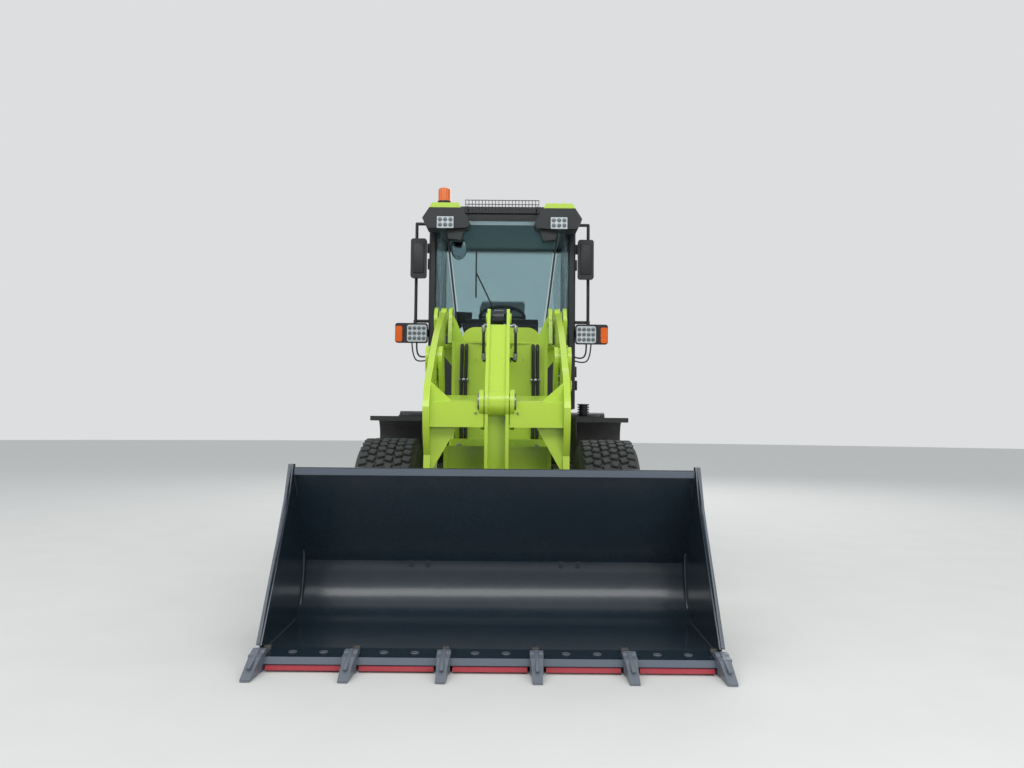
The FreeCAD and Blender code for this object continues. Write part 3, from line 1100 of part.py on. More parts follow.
def build_roof():
    """The roof shell with its crown, the lamp pods ahead of it and the heater ducts under them."""
    front = CAB_FRONT_U - 20
    back = CAB_BACK_U + 30
    wide = CAB_HALF - 10
    low = CAB_ROOF_Z + SEAT_GAP
    roof = plan_plate([(-420, front), (420, front), (560, front + 60, wide, CAB_POST_U - 20),
                       (wide, back - 90),
                       (wide - 28, back - 28, wide - 90, back), (-wide + 90, back),
                       (-wide + 28, back - 28, -wide, back - 90), (-wide, CAB_POST_U - 20),
                       (-560, front + 60, -420, front)], low, CAB_ROOF_Z + CAB_ROOF_T)
    crown = rounded_block(-wide + 90, wide - 90, CAB_POST_U + 20, back - 90, CAB_ROOF_Z + CAB_ROOF_T - 2,
                          CAB_ROOF_Z + CAB_ROOF_T + CROWN_T, 80, 2)
    pod = front_plate([(320, CAB_ROOF_Z + 5), (585, CAB_ROOF_Z + 5), (640, CAB_ROOF_Z - 80),
                       (600, CAB_ROOF_Z - 160),
                       (420, CAB_ROOF_Z - 165), (280, CAB_ROOF_Z - 155), (255, CAB_ROOF_Z - 125)],
                      POD_FRONT_U, CAB_FRONT_U - 1)
    duct = front_plate([(300, CAB_ROOF_Z - 150), (450, CAB_ROOF_Z - 150), (432, CAB_ROOF_Z - 238),
                        (330, CAB_ROOF_Z - 248)], POD_FRONT_U + 40, CAB_FRONT_U - 20)
    save("cab_roof", [joined([roof, crown] + pair(pod) + pair(duct))])
    lean = GUARD_LEAN
    wire = 2 * GUARD_WIRE_R
    bars = []
    for index in range(GUARD_BARS):
        x = -GUARD_HALF + 2 * GUARD_HALF * index / (GUARD_BARS - 1)
        bars.append(side_plate([(POD_FRONT_U - 6, GUARD_LOW_Z), (POD_FRONT_U - 6 - lean, GUARD_HIGH_Z),
                                (POD_FRONT_U - 6 - lean + wire, GUARD_HIGH_Z),
                                (POD_FRONT_U - 6 + wire, GUARD_LOW_Z)],
                               x - GUARD_WIRE_R, x + GUARD_WIRE_R))
    for index in range(GUARD_WIRES):
        share = index / (GUARD_WIRES - 1)
        z = GUARD_LOW_Z + (GUARD_HIGH_Z - GUARD_LOW_Z - wire) * share
        u = POD_FRONT_U - 6 - lean * share + wire - 1
        bars.append(block(-GUARD_HALF - GUARD_WIRE_R, GUARD_HALF + GUARD_WIRE_R, u, u + wire, z, z + wire))
    for x in (-GUARD_HALF + 14, GUARD_HALF - 14):
        bars.append(block(x - 4, x + 4, POD_FRONT_U - 20, CAB_FRONT_U - 21, GUARD_LOW_Z + 44,
                          GUARD_LOW_Z + 52))
    save("roof_guard", [joined(bars)])


def build_doors():
    for hand, side in (("left", 1), ("right", -1)):
        x0 = CAB_HALF - DOOR_T + 5
        x1 = CAB_HALF + 5
        u0 = CAB_POST_U + POST + 4
        u1 = DOOR_BACK_U
        z0 = CAB_FLOOR_Z + CAB_FLOOR_T + 6
        z1 = CAB_ROOF_Z - POST - 6
        door = rounded_block(x0, x1, u0, u1, z0, z1, 20, 0)
        glass = []
        for low, high in ((z0 + DOOR_FRAME, DOOR_BAR_Z), (DOOR_BAR_Z + DOOR_FRAME, z1 - DOOR_FRAME)):
            door = door.cut(rounded_block(x0 - 1, x1 + 1, u0 + DOOR_FRAME, u1 - DOOR_FRAME, low, high,
                                          WINDOW_ROUND, 0))
            glass.append(rounded_block(x0 + 16, x0 + 16 + GLASS_T, u0 + DOOR_FRAME + 0.5,
                                       u1 - DOOR_FRAME - 0.5,
                                       low + 0.5, high - 0.5, WINDOW_ROUND - 0.5, 0))
        fittings = [upright_rod(x1 + 8, u0 + 14, 12, z, z + 80) for z in (z0 + 120, z1 - 220)]
        fittings.append(bent_tube([at(x1 - 2, u1 - 24, z0 + 160), at(x1 + 40, u1 - 24, z0 + 160),
                                   at(x1 + 40, u1 - 24, z0 + 420), at(x1 - 2, u1 - 24, z0 + 420)], 9))
        door = joined([door] + fittings)
        if side < 0:
            door = mirrored(door)
            glass = [mirrored(shape) for shape in glass]
        save("door_" + hand, [door])
        save("door_glass_" + hand, glass)


def build_cab_inside():
    floor_z = CAB_FLOOR_Z + CAB_FLOOR_T
    seat_u = CAB_FRONT_U + 560
    cushion = side_plate([(seat_u, 1620), (seat_u - 10, 1660, seat_u + 40, 1705), (seat_u + 420, 1690),
                          (seat_u + 420, 1620)], -230, 230)
    rest = side_plate([(seat_u + 400, 1680), (seat_u + 320, 1700), (seat_u + 410, 2300),
                       (seat_u + 455, 2345, seat_u + 510, 2300), (seat_u + 500, 1680)], -220, 220)
    post = rounded_block(-180, 180, seat_u + 70, seat_u + 370, floor_z, 1620, 30, 2)
    save("seat", [joined([cushion, rest, post])])
    dash_u = CAB_FRONT_U + 40
    dash = side_plate([(dash_u, 1650), (dash_u, 1945), (dash_u + 20, 1996, dash_u + 70, 2025),
                       (dash_u + 130, 2000),
                       (dash_u + 235, 1880), (dash_u + 190, 1650)], -300, 300)
    wheel_foot = at(0, CAB_FRONT_U + 110, floor_z)
    wheel_head = at(0, CAB_FRONT_U + 370, 2040)
    stalk = rod(at(0, CAB_FRONT_U + 122, floor_z + 32), wheel_head, 32)
    desk = rounded_block(-545, -290, CAB_FRONT_U + 480, CAB_FRONT_U + 1030, floor_z, 1850, 40, 2)
    levers = [desk]
    for x, u in ((-400, CAB_FRONT_U + 560), (-470, CAB_FRONT_U + 620)):
        levers.append(rod(at(x, u, 1848), at(x + 20, u - 35, 2010), 9))
        levers.append(Part.makeSphere(26, at(x + 20, u - 35, 2020)))
    save("console", [joined([dash, stalk]), joined(levers)])
    tilt = (wheel_head - wheel_foot).normalize()
    hub = wheel_head + tilt
    ring = Part.makeTorus(190, 14, hub + tilt * 40, tilt)
    boss = rod(hub, hub + tilt * 46, 40)
    spokes = [rod(hub + tilt * 40, hub + tilt * 40 + direction * 190, 10)
              for direction in (FreeCAD.Vector(1, 0, 0), FreeCAD.Vector(-1, 0, 0),
                                tilt.cross(FreeCAD.Vector(1, 0, 0)))]
    save("steering_wheel", [joined([ring, boss] + spokes)])


def build_cab_fittings():
    face = HEAD_LAMP_U
    x0, x1 = HEAD_LAMP_X, HEAD_LAMP_X + HEAD_LAMP_W
    z0, z1 = HEAD_LAMP_Z, HEAD_LAMP_Z + HEAD_LAMP_H
    head = rounded_block(x0, x1, face, face + 12, z0, z1, 18, 1)
    lens_z = ROOF_LAMP_Z
    roof_lamp = block(ROOF_LAMP_X, ROOF_LAMP_X + 3 * LAMP_PITCH + 6, POD_FRONT_U - LED_LENS_T,
                      POD_FRONT_U - SEAT_GAP,
                      lens_z, lens_z + 2 * LAMP_PITCH + 8)
    cups = []
    for column in range(3):
        for row in range(2):
            centre = (ROOF_LAMP_X + 3 + LAMP_PITCH * (column + 0.5), lens_z + 4 + LAMP_PITCH * (row + 0.5))
            cups.append(rod(at(centre[0], POD_FRONT_U - LED_LENS_T - 1, centre[1]),
                            at(centre[0], POD_FRONT_U - LED_LENS_T + LAMP_CUP_DEPTH, centre[1]),
                            LAMP_CUP_R))
    save("lamps", pair(head) + pair(roof_lamp.cut(cups)))
    x2 = x1 + 40
    save("indicators", pair(rounded_block(x2, x2 + INDICATOR_W, face, face + 12, z0, z1 - 10, 14, 1)))
    beacon_z = CAB_ROOF_Z + 6 + POD_CAP_T + SEAT_GAP
    dome = upright_rod(BEACON_X, CAB_FRONT_U - 80, BEACON_R, beacon_z + 28, beacon_z + 28 + BEACON_H)
    rim = [edge for edge in dome.Edges if edge.BoundBox.ZMin > beacon_z + 100 and edge.BoundBox.ZLength < 0.1]
    dome = dome.makeFillet(18, rim)
    save("beacon", [joined([dome, upright_rod(BEACON_X, CAB_FRONT_U - 80, BEACON_R + 5, beacon_z,
                                              beacon_z + 29)])])
    tube_u = CAB_POST_U + POST / 2
    low_z, high_z = HEAD_LAMP_Z + HEAD_LAMP_H + 40, CAB_ROOF_Z - 50
    post_x = CAB_HALF + SEAT_GAP
    loop = bent_tube([at(post_x, tube_u, low_z), at(MIRROR_TUBE_X, tube_u, low_z),
                      at(MIRROR_TUBE_X, tube_u, high_z),
                      at(post_x, tube_u, high_z)], MIRROR_TUBE_R)
    body_u = tube_u - 78
    body = rounded_block(MIRROR_TUBE_X - 92, MIRROR_TUBE_X + 40, body_u, body_u + 34, MIRROR_LOW_Z,
                         MIRROR_HIGH_Z, 22, 1)
    stub = rod(at(MIRROR_TUBE_X, body_u + 30, (MIRROR_LOW_Z + MIRROR_HIGH_Z) / 2),
               at(MIRROR_TUBE_X, tube_u, (MIRROR_LOW_Z + MIRROR_HIGH_Z) / 2), 11)
    save("mirrors", pair(joined([loop, body, stub, lamp_housing(x0, x2 + INDICATOR_W, face + 13, z0, z1)])))


def lamp_housing(x0, x1, u0, z0, z1):
    """The box behind a headlamp and its indicator, on an arm from the front post."""
    back = rounded_block(x0 - 8, x1 + 4, u0, u0 + HEAD_LAMP_DEPTH, z0 - 8, z1 + 16, 20, 1)
    arm = block(CAB_HALF + SEAT_GAP, x0 + 60, u0 + HEAD_LAMP_DEPTH - 5, CAB_POST_U + POST - 6, z0 + 50,
                z0 + 110)
    riser = block(MIRROR_TUBE_X - 12, MIRROR_TUBE_X + 12, u0 + HEAD_LAMP_DEPTH - 10,
                  CAB_POST_U + POST / 2 + 8, z1 - 20,
                  z1 + 44)
    return joined([back, arm, riser])


def build_steering():
    """The steering cylinder beside the hitch."""
    start = at(STEER_FOOT_X, STEER_FOOT_U, STEER_Z)
    end = at(STEER_EYE_X, STEER_EYE_U, STEER_Z)
    along = (end - start).normalize()
    mouth = start + along * (end - start).Length * STEER_BARREL_SHARE
    z0 = STEER_Z - STEER_EYE_HALF
    z1 = STEER_Z + STEER_EYE_HALF
    barrel = joined([rod(start + along * 30, mouth, STEER_BARREL_R),
                     rod(mouth - along * 36, mouth, STEER_BARREL_R + 4),
                     upright_rod(STEER_FOOT_X, STEER_FOOT_U, STEER_EYE_R, z0, z1)])
    barrel = barrel.cut([upright_rod(STEER_FOOT_X, STEER_FOOT_U, STEER_PIN_R + PIN_FIT, z0 - 1, z1 + 1),
                         rod(start + along * 50, mouth + along, STEER_ROD_R + 1.5)])
    bar = joined([rod(start + along * 245, end, STEER_ROD_R),
                  upright_rod(STEER_EYE_X, STEER_EYE_U, STEER_EYE_R, z0, z1)])
    save("steer_barrel", [barrel])
    save("steer_rod", [bar])


build_wheels()
build_axles()
build_front_frame()
build_front_fenders()
build_boom()
build_pins()
build_rocker()
build_link()
build_cylinders()
build_bucket()
build_teeth()
build_rear_frame()
build_rear_body()
build_side_boxes()
build_cab()
build_doors()
build_cab_inside()
build_cab_fittings()
build_steering()
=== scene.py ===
import bpy
import math
from mathutils import Matrix, Vector


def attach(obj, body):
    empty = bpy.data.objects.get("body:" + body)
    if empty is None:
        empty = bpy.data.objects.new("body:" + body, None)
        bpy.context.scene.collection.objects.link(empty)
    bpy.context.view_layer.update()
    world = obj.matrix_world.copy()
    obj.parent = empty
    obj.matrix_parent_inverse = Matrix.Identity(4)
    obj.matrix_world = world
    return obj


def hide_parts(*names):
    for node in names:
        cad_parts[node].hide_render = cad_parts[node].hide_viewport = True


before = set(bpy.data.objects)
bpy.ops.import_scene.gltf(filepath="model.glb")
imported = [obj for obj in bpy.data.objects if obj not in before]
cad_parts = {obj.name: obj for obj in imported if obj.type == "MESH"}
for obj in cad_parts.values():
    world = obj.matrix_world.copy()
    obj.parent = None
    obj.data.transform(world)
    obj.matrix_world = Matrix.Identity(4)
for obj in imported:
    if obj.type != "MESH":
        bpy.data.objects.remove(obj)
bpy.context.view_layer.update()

# Camera. A small camera held at waist height, straight in front of the bucket.
# Its lens and tilt come from the tyre and bucket sizes and from the horizon in the photograph.
AXLE_Y = -0.965  # the front axle's line; places along the machine are measured rearwards from it
PHOTO_W = 1024
FOCAL_PX = 800
SENSOR_MM = 36
TILT_UP = math.radians(3.15)
ROLL = math.radians(0.5)
CAMERA_PLACE = (0.09, AXLE_Y - 5.55, 1.127)

camera_data = bpy.data.cameras.new("camera")
camera_data.sensor_width = SENSOR_MM
camera_data.lens = FOCAL_PX / PHOTO_W * SENSOR_MM
camera = bpy.data.objects.new("camera", camera_data)
bpy.context.collection.objects.link(camera)
aim = Matrix.Rotation(math.pi / 2 + TILT_UP, 4, "X") @ Matrix.Rotation(ROLL, 4, "Z")
camera.matrix_world = Matrix.Translation(CAMERA_PLACE) @ aim
bpy.context.scene.camera = camera


# Floor and light. A pale studio floor under a large soft sky, with three broad lamps.
# The lamps give the enamel its long soft highlights.
def linear(code):
    """A colour written as sRGB hex, as Blender's linear values."""
    parts = [int(code[i:i + 2], 16) / 255 for i in (0, 2, 4)]
    return tuple(c / 12.92 if c <= 0.04045 else ((c + 0.055) / 1.055) ** 2.4 for c in parts) + (1.0,)


def add(tree, kind, settings=None, **links):
    """One node with its settings and links. A link is a socket of another node, or else a plain value."""
    node = tree.nodes.new("ShaderNode" + kind)
    for key, value in (settings or {}).items():
        setattr(node, key, value)
    for key, value in links.items():
        numbered = key[0] == "i" and key[1:].isdigit()
        socket = node.inputs[int(key[1:])] if numbered else node.inputs[key.replace("_", " ")]
        if isinstance(value, bpy.types.NodeSocket):
            tree.links.new(value, socket)
        else:
            socket.default_value = value
    return node


def new_material(name):
    """An empty node material with its Principled shader, ready for patterns."""
    material = bpy.data.materials.new(name)
    material.use_nodes = True
    return material, material.node_tree, material.node_tree.nodes["Principled BSDF"]


def blend_colours(tree, share, low, high):
    """A colour between two others, by a share from 0 to 1."""
    return add(tree, "Mix", {"data_type": "RGBA"}, i0=share, i6=low, i7=high).outputs[2]


FLOOR_PALE = "d9d9d6"
FLOOR_DARK = "d2d2cf"
FLOOR_R = 60
bpy.ops.object.select_all(action="DESELECT")
bpy.ops.mesh.primitive_circle_add(vertices=96, radius=FLOOR_R, fill_type="NGON", location=(0, 0, 0))
floor = bpy.context.object
floor.name = "floor"
floor_paint, tree, shader = new_material("matte studio floor")
mottle = add(tree, "TexNoise", Vector=add(tree, "TexCoord").outputs["Object"], Scale=2.5, Detail=5.0)
tree.links.new(blend_colours(tree, mottle.outputs["Fac"], linear(FLOOR_PALE), linear(FLOOR_DARK)),
               shader.inputs["Base Color"])
shader.inputs["Roughness"].default_value = 0.85
shader.inputs["Specular IOR Level"].default_value = 0.2
floor.data.materials.append(floor_paint)

HORIZON = "b1b3b5"
ZENITH = "dfe3e7"
BACKDROP = "dddedf"
world = bpy.data.worlds.new("soft sky")
bpy.context.scene.world = world
world.use_nodes = True
sky = world.node_tree
background = sky.nodes["Background"]
background.inputs["Strength"].default_value = 1.0
seen = add(sky, "LightPath")
height = add(sky, "SeparateXYZ", Vector=add(sky, "TexCoord").outputs["Generated"])
dome = add(sky, "ValToRGB", i0=height.outputs["Z"])
dome.color_ramp.elements[0].position = 0.0
dome.color_ramp.elements[0].color = linear(HORIZON)
dome.color_ramp.elements[1].position = 0.75
dome.color_ramp.elements[1].color = linear(ZENITH)
clear = add(sky, "Math", {"operation": "MAXIMUM"}, i0=seen.outputs["Is Camera Ray"],
            i1=seen.outputs["Is Transmission Ray"])
sky.links.new(blend_colours(sky, clear.outputs[0], dome.outputs["Color"], linear(BACKDROP)),
              background.inputs["Color"])

LAMP_AIM = Vector((0, 0, 1.0))
LAMPS = (  # name, place, width, depth, watts, seen in gloss
    ("key", (-1.5, -8.5, 7.5), 13.0, 3.0, 480, True),
    ("fill", (4.0, -9.5, 2.3), 4.0, 2.0, 170, False),
    ("back", (2.0, 8.0, 8.0), 6.0, 6.0, 380, True),
)
for name, place, wide, deep, watts, glossy in LAMPS:
    data = bpy.data.lights.new(name, "AREA")
    data.shape = "RECTANGLE"
    data.size = wide
    data.size_y = deep
    data.energy = watts
    lamp = bpy.data.objects.new(name, data)
    bpy.context.collection.objects.link(lamp)
    lamp.location = place
    lamp.visible_transmission = False
    lamp.visible_glossy = glossy
    lamp.rotation_mode = "QUATERNION"
    lamp.rotation_quaternion = (LAMP_AIM - Vector(place)).to_track_quat("-Z", "Y")
bpy.context.scene.view_settings.view_transform = "Standard"


# Axles and engine. Grey iron sand castings and a block, brushed with black chassis paint.
# The eye sees a soft, uneven black with a coarse cast grain of about 3 mm and road dust on top.
DUST_TOP = 1.3  # the height above which no road dust lies
DUST_FULL = 0.1


def coord(tree):
    """Object coordinates in metres."""
    return add(tree, "TexCoord").outputs["Object"]


def enamel(name, colour, shade, roughness=0.3, grain=0.0004, grain_mm=2.0, dust=0.12, coat=0.3,
           dust_colour="8f8a80", chip=None, patchy=0.16, metal=0.0):
    """A coated or bare surface: its colour, a darker drift over a metre, dust low down, grain, chips."""
    material, tree, shader = new_material(name)
    place = coord(tree)
    drift = add(tree, "TexNoise", Vector=place, Scale=1.3, Detail=4.0)
    body = blend_colours(tree, drift.outputs["Fac"], linear(colour), linear(shade))
    grime = add(tree, "TexNoise", Vector=place, Scale=9.0, Detail=6.0, Roughness=0.7)
    low = add(tree, "MapRange", Value=add(tree, "SeparateXYZ", Vector=place).outputs["Z"], From_Min=DUST_TOP,
              From_Max=DUST_FULL)
    film = add(tree, "Math", {"operation": "MULTIPLY"}, i0=grime.outputs["Fac"], i1=low.outputs["Result"])
    film = add(tree, "Math", {"operation": "MULTIPLY"}, i0=film.outputs[0], i1=dust * 2)
    coloured = blend_colours(tree, film.outputs[0], body, linear(dust_colour))
    if chip:
        nick = add(tree, "TexNoise", Vector=place, Scale=60.0, Detail=5.0, Roughness=0.8)
        chips = add(tree, "MapRange", Value=nick.outputs["Fac"], From_Min=0.69, From_Max=0.74)
        thin = add(tree, "Math", {"operation": "MULTIPLY"}, i0=chips.outputs["Result"], i1=0.35)
        coloured = blend_colours(tree, thin.outputs[0], coloured, linear(chip))
    tree.links.new(coloured, shader.inputs["Base Color"])
    rough = add(tree, "Math", {"operation": "MULTIPLY_ADD"}, i0=grime.outputs["Fac"], i1=patchy,
                i2=roughness - patchy / 2)
    tree.links.new(rough.outputs[0], shader.inputs["Roughness"])
    skin = add(tree, "TexNoise", Vector=place, Scale=1000.0 / grain_mm, Detail=1.0)
    wave = add(tree, "TexNoise", Vector=place, Scale=7.0, Detail=2.0)
    dented = add(tree, "Bump", Height=wave.outputs["Fac"], Strength=0.12, Distance=0.012)
    bump = add(tree, "Bump", Height=skin.outputs["Fac"], Strength=0.3, Distance=grain,
               Normal=dented.outputs["Normal"])
    tree.links.new(bump.outputs["Normal"], shader.inputs["Normal"])
    shader.inputs["Metallic"].default_value = metal
    shader.inputs["Coat Weight"].default_value = coat
    shader.inputs["Coat Roughness"].default_value = 0.1
    return material


def finish_node(material, *names):
    """Gives a CAD node a new finish and keeps its mesh."""
    for name in names:
        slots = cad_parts[name].data.materials
        slots.clear()
        slots.append(material)


cast_iron = enamel("black paint on grey cast iron", "1a1b1c", "232425", roughness=0.55, grain=0.002,
                   grain_mm=3.0, dust=0.3, coat=0.0)
finish_node(cast_iron, "front_axle", "rear_axle", "engine")


# Rims. Pressed steel discs in one-piece steel rims, sprayed lime.
# The eye sees a dusty lime dish with round hand holes inside a rolled edge.
WHEELS = (  # axle, hand, side, distance behind the front axle
    ("front", "left", 1, 0.0),
    ("front", "right", -1, 0.0),
    ("rear", "left", 1, 2.5),
    ("rear", "right", -1, 2.5),
)
rim_lime = enamel("lime enamel on pressed steel", "b6d544", "abca3b", dust=0.3, chip="cfe080")
finish_node(rim_lime, *["rim_%s_%s" % wheel[:2] for wheel in WHEELS])


# Tyres. Radial loader tyres, vulcanised rubber moulded in one piece with a block tread.
# The eye sees dull grey-black with lighter worn block faces, dusty grooves and rings on the sidewalls.
def y(u):
    """A distance behind the front axle, as a place along the machine."""
    return AXLE_Y + u


def begin(shape, place, size=(1, 1, 1), turn=(0, 0, 0), **options):
    """A primitive at its size and place, with all else deselected."""
    if bpy.context.mode != "OBJECT":
        bpy.ops.object.mode_set(mode="OBJECT")
    bpy.ops.object.select_all(action="DESELECT")
    starts = {"cube": bpy.ops.mesh.primitive_cube_add, "round": bpy.ops.mesh.primitive_cylinder_add,
              "ball": bpy.ops.mesh.primitive_uv_sphere_add, "ring": bpy.ops.mesh.primitive_circle_add,
              "hoop": bpy.ops.mesh.primitive_torus_add}
    if shape == "cube":
        options["size"] = 1
    starts[shape](location=place, rotation=turn, **options)
    piece = bpy.context.object
    piece.scale = size
    bpy.ops.object.transform_apply(location=True, rotation=True, scale=True)
    return piece


def pick(piece, test):
    """Selects the faces that pass a test and opens the piece for editing."""
    if bpy.context.mode != "OBJECT":
        bpy.ops.object.mode_set(mode="OBJECT")
    bpy.context.tool_settings.mesh_select_mode = (False, False, True)
    for parts in (piece.data.vertices, piece.data.edges):
        parts.foreach_set("select", [False] * len(parts))
    for face in piece.data.polygons:
        face.select = test(face)
    bpy.ops.object.mode_set(mode="EDIT")


def close():
    """Back from editing."""
    bpy.ops.object.mode_set(mode="OBJECT")


def shifted(piece, place=(0, 0, 0), turn=(0, 0, 0), flip=False):
    """A copy with its own mesh, moved, turned about the origin or flipped to the other side."""
    copy = piece.copy()
    copy.data = piece.data.copy()
    bpy.context.collection.objects.link(copy)
    bpy.ops.object.select_all(action="DESELECT")
    copy.select_set(True)
    bpy.context.view_layer.objects.active = copy
    copy.location = place
    copy.rotation_euler = turn
    if flip:
        copy.scale = (-1, 1, 1)
    bpy.ops.object.transform_apply(location=True, rotation=True, scale=True)
    if flip:
        bpy.ops.object.mode_set(mode="EDIT")
        bpy.ops.mesh.select_all(action="SELECT")
        bpy.ops.mesh.normals_make_consistent(inside=False)
        close()
    return copy


def gathered(pieces):
    """Several pieces as one object."""
    bpy.ops.object.select_all(action="DESELECT")
    for piece in pieces:
        piece.select_set(True)
    bpy.context.view_layer.objects.active = pieces[0]
    if len(pieces) > 1:
        bpy.ops.object.join()
    return pieces[0]


def fit(piece, name, material, body, smooth=35):
    """Names and finishes a piece, and puts it on the body that carries it."""
    piece.name = name
    piece.data.name = name
    piece.data.materials.clear()
    piece.data.materials.append(material)
    for face in piece.data.polygons:
        face.material_index = 0
    bpy.ops.object.select_all(action="DESELECT")
    piece.select_set(True)
    bpy.context.view_layer.objects.active = piece
    bpy.ops.object.shade_smooth_by_angle(angle=math.radians(smooth))
    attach(piece, body)
    return piece


TYRE_R = 0.525
AXLE_Z = TYRE_R
TRACK_HALF = 0.735
ROUND_STEPS = 72
SIDEWALL = (  # across and out from the axle, from the tread's edge to the bead
    (0.170, 0.503),
    (0.191, 0.470),
    (0.203, 0.420),
    (0.2055, 0.370),
    (0.199, 0.310),
    (0.177, 0.262),
)
SIDE_RINGS = ((0.47, 0.188), (0.335, 0.2), (0.29, 0.188))  # radius of each ring, and its place across
SIDE_RING_THICK = 0.005
BLOCK_ROWS = 46
BLOCK_LONG = 0.045
BLOCK_DEEP = 0.031
BLOCK_ARRIS = 0.005
BLOCK_COLUMNS = (  # place across the tread, turn of the block, lag behind the row, width, middle's depth
    (-0.142, 0.30, 0.10, 0.054, 0.018),
    (-0.086, -0.35, 0.45, 0.046, 0.0155),
    (-0.029, 0.35, 0.05, 0.046, 0.0155),
    (0.029, -0.35, 0.55, 0.046, 0.0155),
    (0.086, 0.35, 0.05, 0.046, 0.0155),
    (0.142, -0.30, 0.50, 0.054, 0.018),
)
rubber = enamel("vulcanised tyre rubber", "303436", "26292b", roughness=0.72, grain=0.0006, grain_mm=1.5,
                dust=0.45, coat=0.0, dust_colour="6d6c66", chip="5a5e60")

outline = SIDEWALL + tuple((-across, out) for across, out in reversed(SIDEWALL))
carcass = begin("ring", (0, 0, 0), vertices=len(outline))
for point, (across, out) in zip(carcass.data.vertices, outline):
    point.co = (across, 0, out)
bpy.ops.object.mode_set(mode="EDIT")
bpy.ops.mesh.select_all(action="SELECT")
bpy.ops.mesh.spin(steps=ROUND_STEPS, angle=2 * math.pi, center=(0, 0, 0), axis=(1, 0, 0))
bpy.ops.mesh.select_all(action="SELECT")
bpy.ops.mesh.remove_doubles(threshold=0.0004)
bpy.ops.mesh.normals_make_consistent(inside=False)
close()

rings = []
for ring_r, across in SIDE_RINGS:
    for side in (1, -1):
        rings.append(begin("hoop", (side * across, 0, 0), turn=(0, math.pi / 2, 0), minor_segments=6,
                           major_segments=ROUND_STEPS, major_radius=ring_r, minor_radius=SIDE_RING_THICK))

row = []
for across, turn, lag, wide, deep in BLOCK_COLUMNS:
    block = begin("cube", (across, 0, TYRE_R - deep), (wide, BLOCK_LONG, BLOCK_DEEP), (0, 0, turn))
    pick(block, lambda face: face.normal.z > 0.9)
    bpy.ops.mesh.bevel(offset=BLOCK_ARRIS, segments=1, affect="EDGES")
    close()
    row.append(shifted(block, turn=(lag * 2 * math.pi / BLOCK_ROWS, 0, 0)))
    bpy.data.objects.remove(block)
row = gathered(row)
bpy.ops.object.mode_set(mode="EDIT")
bpy.ops.mesh.select_all(action="SELECT")
bpy.ops.mesh.spin(steps=BLOCK_ROWS - 1, angle=2 * math.pi * (BLOCK_ROWS - 1) / BLOCK_ROWS, dupli=True,
                  center=(0, 0, 0), axis=(1, 0, 0))
close()
tyre = gathered([carcass, row] + rings)
for axle, hand, side, u in WHEELS:
    name = "%s_%s" % (axle, hand)
    place = (side * TRACK_HALF, y(u), AXLE_Z)
    tread = shifted(tyre, place, flip=side < 0)
    fit(tread, "tyre_tread_" + name, rubber, "wheel_" + name, 30)
    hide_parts("tyre_" + name)
bpy.data.objects.remove(tyre)


# Wheel nuts and hub caps. Ten zinc-plated nuts on studs, and a pressed cap over the hub in the rim's lime.
# The eye sees a ring of bright hexagons round a low stepped disc.
def hex_bolt(place, radius, height, axis="Y", way=-1):
    """A hexagon head with a chamfered face on a thin washer, pointing along an axis."""
    turn = {"X": (0, math.pi / 2, 0), "Y": (math.pi / 2, 0, 0), "Z": (0, 0, 0)}[axis]
    step = {"X": Vector((way, 0, 0)), "Y": Vector((0, way, 0)), "Z": Vector((0, 0, way))}[axis]
    head = begin("round", Vector(place) + step * height / 2, (radius, radius, height), turn, vertices=6,
                 depth=1)
    pick(head, lambda face: face.normal.dot(step) > 0.9)
    bpy.ops.mesh.bevel(offset=radius * 0.14, segments=1, affect="EDGES")
    close()
    washer = begin("round", Vector(place) + step * height * 0.08,
                   (radius * 1.25, radius * 1.25, height * 0.16), turn, vertices=12, depth=1)
    pick(washer, lambda face: face.normal.dot(step) > 0.9)
    bpy.ops.mesh.inset(thickness=radius * 0.12, depth=0)
    close()
    return gathered([head, washer])


NUTS = 10
NUT_CIRCLE = 0.104
NUT_R = 0.016
NUT_HIGH = 0.018
RIM_FACE_X = 0.839
CAP_R = 0.062
CAP_HIGH = 0.016
CAP_STEPS = ((0.012, 0.008), (0.02, 0.0), (0.008, 0.006))  # width and height of each step inwards
zinc = enamel("zinc-plated steel", "b4b7b8", "8e9294", roughness=0.32, grain=0.0002, dust=0.1, coat=0.0,
              metal=0.9)
nuts = []
for index in range(NUTS):
    angle = 2 * math.pi * index / NUTS
    place = (RIM_FACE_X, NUT_CIRCLE * math.sin(angle), NUT_CIRCLE * math.cos(angle))
    nuts.append(hex_bolt(place, NUT_R, NUT_HIGH, "X", 1))
cap = begin("round", (RIM_FACE_X + CAP_HIGH / 2, 0, 0), (CAP_R, CAP_R, CAP_HIGH), (0, math.pi / 2, 0),
            vertices=32, depth=1)
pick(cap, lambda face: face.normal.x > 0.9)
for wide, high in CAP_STEPS:
    bpy.ops.mesh.inset(thickness=wide, depth=high)
close()
nuts = gathered(nuts)
for axle, hand, side, u in WHEELS:
    name = "%s_%s" % (axle, hand)
    hub = (0, y(u), AXLE_Z)
    fit(shifted(nuts, hub, flip=side < 0), "wheel_nuts_" + name, zinc, "wheel_" + name)
    fit(shifted(cap, hub, flip=side < 0), "hub_cap_" + name, rim_lime, "wheel_" + name)
for start in (nuts, cap):
    bpy.data.objects.remove(start)


# Rear frame, bulkhead, counterweight, step tanks, cab frame, doors and roof guard. Flame-cut plate, pressed
# sheet and a casting, painted black. The eye sees a low-gloss black with a slight orange peel, dust low down,
# and zinc bolt heads.
def bolts(places, radius, height, axis, way):
    """Bolts of one size as one piece."""
    return gathered([hex_bolt(place, radius, height, axis, way) for place in places])


